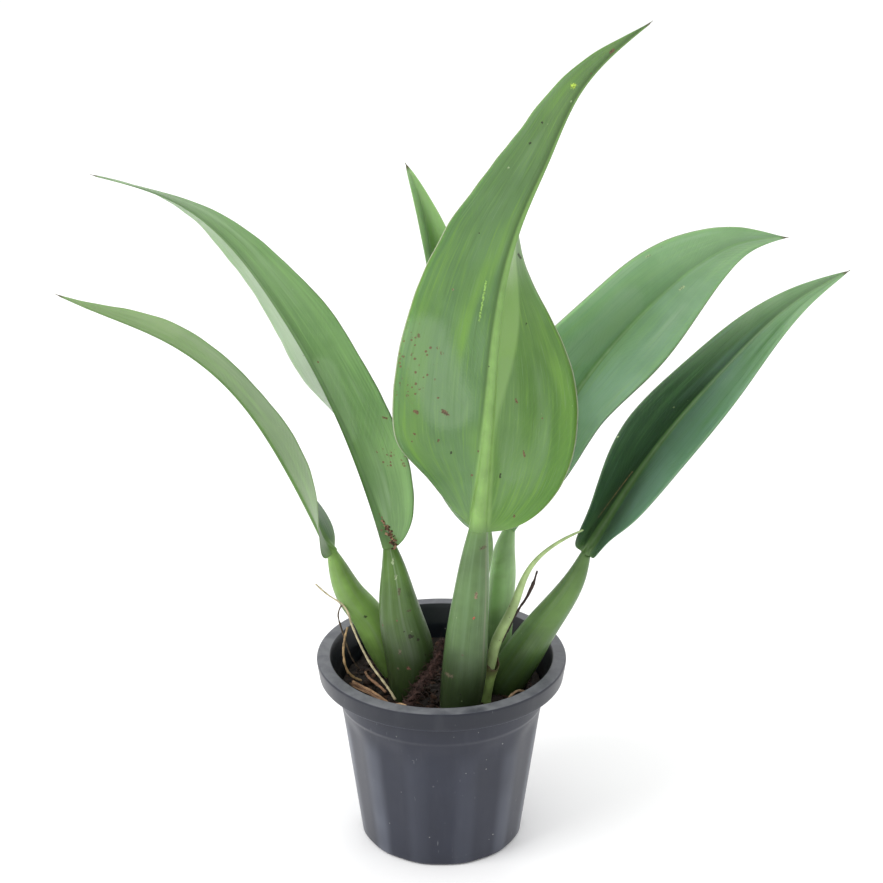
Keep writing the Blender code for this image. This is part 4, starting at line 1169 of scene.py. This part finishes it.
def makeSheath():
    path = evenPath(youngValues["sheath"], 60)
    rows, ring = 60, 48
    angle = np.linspace(0, math.tau, ring, endpoint=False)
    outer = np.zeros((rows, ring, 3))
    inner = np.zeros((rows, ring, 3))
    for j in range(ring):
        # the mouth is torn lower on one side
        way = np.array((math.cos(angle[j]), math.sin(angle[j]), 0))
        jag = noise.noise(Vector((3 * way[0], 3 * way[1], 5)))
        torn = 0.86 + 0.13 * math.cos(angle[j] - 2.4) + 0.035 * jag
        for i in range(rows):
            share = min(i / (rows - 1) * torn, 0.999)
            at = share * (rows - 1)
            k = min(int(at), rows - 2)
            row = path[k] * (1 - (at - k)) + path[k + 1] * (at - k)
            flare = 1 + 0.10 * (i / (rows - 1)) ** 6
            flare += 0.05 * noise.noise(Vector((way[0] * 2, way[1] * 2, row[2] / 8)))
            outer[i, j] = row[:3] + way * row[3] * flare
            inner[i, j] = row[:3] + way * (row[3] * flare - 0.55)
    points = np.vstack([outer.reshape(-1, 3), inner.reshape(-1, 3)])
    faces = loftFaces(rows, ring)
    faces += [tuple(reversed(face)) for face in loftFaces(rows, ring, rows * ring)]
    end = (rows - 1) * ring
    for j in range(ring):
        k = (j + 1) % ring
        faces.append((end + j, end + k, rows * ring + end + k, rows * ring + end + j))
        faces.append((k, j, rows * ring + j, rows * ring + k))
    sheath = addMesh("spearSheath", lifted(points), faces)
    faceOut(sheath)
    top = (soilTop + 30) * mm
    sheath.data.materials.append(makeYoungSkin("sheathSkin", youngValues["sheathTint"], 0.65,
                                               youngValues["tornTint"], top - 0.011, top + 0.001))
    return sheath


def makeRhizome():
    # a knobbly core with short fibres standing off it
    made, centre, tangent = tubePoints(youngValues["rhizome"], 90, 28, bumpy=0.9, bumpSize=1.7, seed=3)
    points, faces = tubeMesh(made, centre)
    pick = random.Random(5)
    points = points.tolist()
    for _ in range(760):
        i = pick.randrange(6, len(centre) - 1)
        j = pick.randrange(made.shape[1])
        start = made[i, j] * 0.94 + centre[i] * 0.06
        out = unit(made[i, j] - centre[i])
        lean = out * pick.uniform(0.25, 0.8) + tangent[i] * pick.uniform(-0.9, 1)
        lean = unit(lean + np.array([pick.uniform(-0.6, 0.6) for _ in range(3)]))
        long = pick.uniform(1.0, 2.6) if pick.random() < 0.86 else pick.uniform(4, 8)
        thin = pick.uniform(0.12, 0.27)
        middle = start + lean * long * 0.5 + out * 0.1 * long
        end = start + lean * long + np.array((0, 0, -0.15 * long))
        line = [(*start, thin), (*middle, thin * 0.8), (*end, thin * 0.3)]
        hair, hairCentre, _ = tubePoints(line, 5, 5)
        more, moreFaces = tubeMesh(hair, hairCentre, len(points))
        points += more.tolist()
        faces += moreFaces
    rhizome = addMesh("rhizomeEnd", lifted(points), faces)
    faceOut(rhizome)
    rhizome.data.materials.append(makeDryMaterial("rhizomeBark", youngValues["rhizomeTint"], 0.9, 0.0003))
    return rhizome


def makeStub():
    made, centre, _ = tubePoints(youngValues["stub"], 90, 14, bumpy=0.5, bumpSize=2.6, seed=8)
    knob = np.exp(-((np.linspace(0, 1, 90) - 0.84) / 0.035) ** 2)[:, None, None]
    made = centre[:, None] + (made - centre[:, None]) * (1 + 0.35 * knob)
    points, faces = tubeMesh(made, centre)
    stub = addMesh("dryStub", lifted(points), faces)
    faceOut(stub)
    stub.data.materials.append(makeDryMaterial("stubBark", youngValues["stubTint"], 0.8, 0.0002))
    return stub


for piece, node, slotName in ((makeSpear(), "young_spear", "young_green"),
                              (makeSheath(), "spear_sheath", "young_green"),
                              (makeRhizome(), "rhizome", "rhizome_brown"),
                              (makeStub(), "dry_stub", "rhizome_brown")):
    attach(piece, "root")
    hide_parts(node)
print("spear, sheath, rhizome and roots made")

# soil

soilValues = {
    "gap": 0.5, "rows": 90, "steps": 160, "bump": 1.6, "clod": 1.5,
    "dark": (0.006, 0.005, 0.004), "light": (0.030, 0.021, 0.017), "bark": (0.10, 0.05, 0.03),
    "chips": 900, "chipSpread": 54, "fibres": 90, "fibreSpread": 50, "seed": 11,
    "strands": 9, "bundle": ((-54, -9, 5), (-49, -19, 7), (-41, -28, 7), (-31, -37, 5), (-22, -43, 3)),
    "grains": 110, "splash": ((-35.5, -4.0, 114), (-26.5, -7.5, 94)), "tan": (0.33, 0.20, 0.12),
}


def soilHeight(x, y):
    # the surface: slow hills, clods and crumbs
    hills = noise.noise(Vector((x, y, 0)) / 16) * soilValues["bump"]
    clods = noise.fractal(Vector((x, y, 5)) / 5, 1.0, 2.0, 4) * soilValues["clod"]
    return hills + clods - 0.6


def makeSoilBall():
    wall = [(outerRadius(z) - potValues["wall"] - soilValues["gap"], z)
            for z in np.linspace(potValues["floor"] + 0.4, soilTop - 1.5, 24)]
    edge = wall[-1][0]
    rings = [(edge * (1 - k / soilValues["rows"]), soilTop) for k in range(soilValues["rows"])]
    profile = [(0, potValues["floor"] + 0.4), *wall, *rings, (0, soilTop)]
    points, faces = turnedPoints(profile, soilValues["steps"])
    for point in points:
        x, y, z = point
        if z >= soilTop - 0.01:
            point[2] = z + soilHeight(x, y)
        elif z < ringHeight:
            push = flutePush(x, y, z)
            radius = math.hypot(x, y)
            if radius > 5:
                point[:2] *= (radius - push) / radius
    soil = addMesh("pottingMix", points * mm, faces)
    faceOut(soil)
    return soil


def makeChips():
    # crumbs, bark chips and short fibres, lying loose on the surface
    pick = random.Random(soilValues["seed"])
    points, faces, tones = [], [], []
    spread = soilValues["chipSpread"]

    def addHair(line, rows, bumpy, seed, tone):
        hair, centre, _ = tubePoints(line, rows, 6, bumpy=bumpy, bumpSize=2, seed=seed)
        more, moreFaces = tubeMesh(hair, centre, len(points))
        points.extend(more.tolist())
        faces.extend(moreFaces)
        tones.extend([tone] * len(more))

    for number in range(soilValues["chips"]):
        radius = spread * math.sqrt(pick.random())
        angle = pick.uniform(0, math.tau)
        x, y = radius * math.cos(angle), radius * math.sin(angle)
        size = pick.uniform(0.5, 1.3) if number % 4 else pick.uniform(1.4, 3.0)
        shape = bmesh.new()
        bmesh.ops.create_icosphere(shape, subdivisions=2 if size > 1.3 else 1, radius=1)
        stretch = (size, size * pick.uniform(0.45, 1), size * pick.uniform(0.25, 0.7))
        turn = pick.uniform(0, math.tau)
        tilt = pick.uniform(-0.5, 0.5)
        z = soilTop + soilHeight(x, y) + stretch[2] * 0.5
        start = len(points)
        for vertex in shape.verts:
            rough = 1 + 0.45 * noise.noise(Vector(vertex.co) * 1.3 + Vector((number, 0, 0)))
            a, b, c = (vertex.co[i] * stretch[i] * rough for i in range(3))
            c2, s2 = math.cos(tilt), math.sin(tilt)
            a, c = a * c2 - c * s2, a * s2 + c * c2
            ca, sa = math.cos(turn), math.sin(turn)
            points.append((x + a * ca - b * sa, y + a * sa + b * ca, z + c))
        shape.verts.index_update()
        for face in shape.faces:
            faces.append(tuple(start + vertex.index for vertex in face.verts))
        tones += [pick.random() ** 4] * (len(points) - start)
        shape.free()
    for number in range(soilValues["fibres"]):
        radius = soilValues["fibreSpread"] * math.sqrt(pick.random())
        angle = pick.uniform(0, math.tau)
        x, y = radius * math.cos(angle), radius * math.sin(angle)
        way = pick.uniform(0, math.tau)
        long = pick.uniform(5, 14)
        line = []
        for k in range(4):
            t = k / 3
            px = x + math.cos(way) * long * t + pick.uniform(-1, 1)
            py = y + math.sin(way) * long * t + pick.uniform(-1, 1)
            away = math.hypot(px, py)
            if away > spread:
                px, py = px * spread / away, py * spread / away
            pz = soilTop + soilHeight(px, py) + 0.5 + 1.4 * math.sin(math.pi * t) * pick.random()
            line.append((px, py, pz, pick.uniform(0.18, 0.42)))
        addHair(line, 14, 0.3, number, pick.uniform(0.4, 1))
    for number in range(soilValues["strands"]):
        # a loose bundle of tan root hairs along the left of the rim
        line = []
        for x, y, z in soilValues["bundle"]:
            line.append((x + pick.uniform(-1.8, 1.8), y + pick.uniform(-1.8, 1.8),
                         soilTop + z + pick.uniform(-1.2, 1.6), pick.uniform(0.22, 0.42)))
        addHair(line, 30, 0.4, 90 + number, pick.uniform(1.6, 2.4))
    for number in range(soilValues["grains"]):
        # splashed grains, dried on where the left blade meets its stalk
        t = pick.random()
        a, b = (np.array(soilValues["splash"][k]) for k in (0, 1))
        middle = a + (b - a) * t + np.array([pick.gauss(0, 1.1), pick.gauss(0, 0.6), pick.gauss(0, 1.4)])
        shape = bmesh.new()
        bmesh.ops.create_icosphere(shape, subdivisions=1, radius=1)
        size = pick.uniform(0.35, 1.0)
        start = len(points)
        for vertex in shape.verts:
            rough = size * (1 + 0.5 * noise.noise(Vector(vertex.co) * 1.5 + Vector((number, 9, 0))))
            points.append((middle[0] + vertex.co.x * rough, middle[1] + vertex.co.y * rough,
                           soilTop + middle[2] + vertex.co.z * rough))
        shape.verts.index_update()
        for face in shape.faces:
            faces.append(tuple(start + vertex.index for vertex in face.verts))
        tones += [pick.uniform(0.6, 2.6)] * (len(points) - start)
        shape.free()
    chips = addMesh("soilCrumbs", np.array(points) * mm, faces)
    setMask(chips, "tone", tones)
    return chips


def makeSoilMaterial(name, useTone):
    material, tree, shader = newMaterial(name, Specular_IOR_Level=0.25)
    place = objectPlace(tree)
    base = useGroup(tree, mottle, Place=place, Dark=soilValues["dark"], Light=soilValues["light"],
                    Scale=160.0, Contrast=0.9).outputs["Color"]
    bits = useGroup(tree, speckles, Place=place, Scale=520.0, Amount=0.10, Size=0.3).outputs[0]
    base = blendColour(tree, calc(tree, "MULTIPLY", bits, 0.5), base, soilValues["bark"])
    if useTone:
        tone = readMask(tree, "tone")
        base = blendColour(tree, calc(tree, "MULTIPLY", tone, 0.75, clamp=True), base, soilValues["bark"])
        base = blendColour(tree, ramp(tree, tone, 1.0, 2.4), base, soilValues["tan"])
    tree.links.new(base, shader.inputs["Base Color"])
    grain = useGroup(tree, fineGrain, Place=place, Scale=900.0, Coarse=0.6).outputs[0]
    tree.links.new(calc(tree, "MULTIPLY_ADD", grain, 0.2, 0.78), shader.inputs["Roughness"])
    addBump(tree, shader, calc(tree, "MULTIPLY_ADD", bits, 0.6, grain), 0.0004, 1.0)
    return material


soil = makeSoilBall()
soil.data.materials.append(makeSoilMaterial("pottingMixCrumb", False))
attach(soil, "root")
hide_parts("potting_soil")
crumbs = makeChips()
crumbs.data.materials.append(makeSoilMaterial("barkCrumb", True))
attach(crumbs, "root")
print("soil made")

# floor, light and camera

stageValues = {
    "floorTint": (0.97, 0.97, 0.972), "skyTint": (1.0, 1.0, 1.0), "skyStrength": 1.05,
    "keyPower": 24, "keyPlace": (-1.5, -0.9, 1.6), "keySize": 1.3,
    "fillPower": 2, "fillPlace": (1.5, -0.9, 1.1), "fillSize": 1.2,
    "backPower": 6, "backPlace": (0.2, 1.6, 1.5), "backSize": 1.4,
    "lens": 87.1, "eye": (0.0, -1.142, 0.720), "tilt": 67.86,
}


def makeFloor():
    # the floor lies a hair below the foot
    size, level = 30, -0.0004
    corners = [(-size, -size, level), (size, -size, level), (size, size, level), (-size, size, level)]
    floor = addMesh("paleFloor", corners, [(0, 1, 2, 3)], smooth=False)
    material, tree, shader = newMaterial("palePaper", Roughness=0.9, Specular_IOR_Level=0.1)
    soft = cloud(tree, objectPlace(tree), 3.0, 2.0)
    low = times(stageValues["floorTint"], 0.985)
    tree.links.new(blendColour(tree, soft, low, stageValues["floorTint"]), shader.inputs["Base Color"])
    floor.data.materials.append(material)


def addSoftLight(name, place, power, size, target=(0, 0, 0.25)):
    light = bpy.data.lights.new(name, "AREA")
    light.shape = "DISK"
    light.size = size
    light.energy = power
    thing = bpy.data.objects.new(name, light)
    bpy.context.scene.collection.objects.link(thing)
    thing.location = place
    thing.rotation_euler = (Vector(target) - Vector(place)).to_track_quat("-Z", "Y").to_euler()


def makeStage():
    world = bpy.data.worlds.new("paleRoom")
    world.use_nodes = True
    background = world.node_tree.nodes["Background"]
    background.inputs["Color"].default_value = (*stageValues["skyTint"], 1)
    background.inputs["Strength"].default_value = stageValues["skyStrength"]
    bpy.context.scene.world = world
    for name in ("key", "fill", "back"):
        addSoftLight(name + "Light", stageValues[name + "Place"], stageValues[name + "Power"],
                     stageValues[name + "Size"])
    lens = bpy.data.cameras.new("camera")
    lens.lens = stageValues["lens"]
    lens.sensor_width = 36
    camera = bpy.data.objects.new("camera", lens)
    camera.location = stageValues["eye"]
    camera.rotation_euler = (math.radians(stageValues["tilt"]), 0, 0)
    bpy.context.scene.collection.objects.link(camera)
    bpy.context.scene.camera = camera
    bpy.context.scene.view_settings.view_transform = "Standard"


makeFloor()
makeStage()
print("stage made")
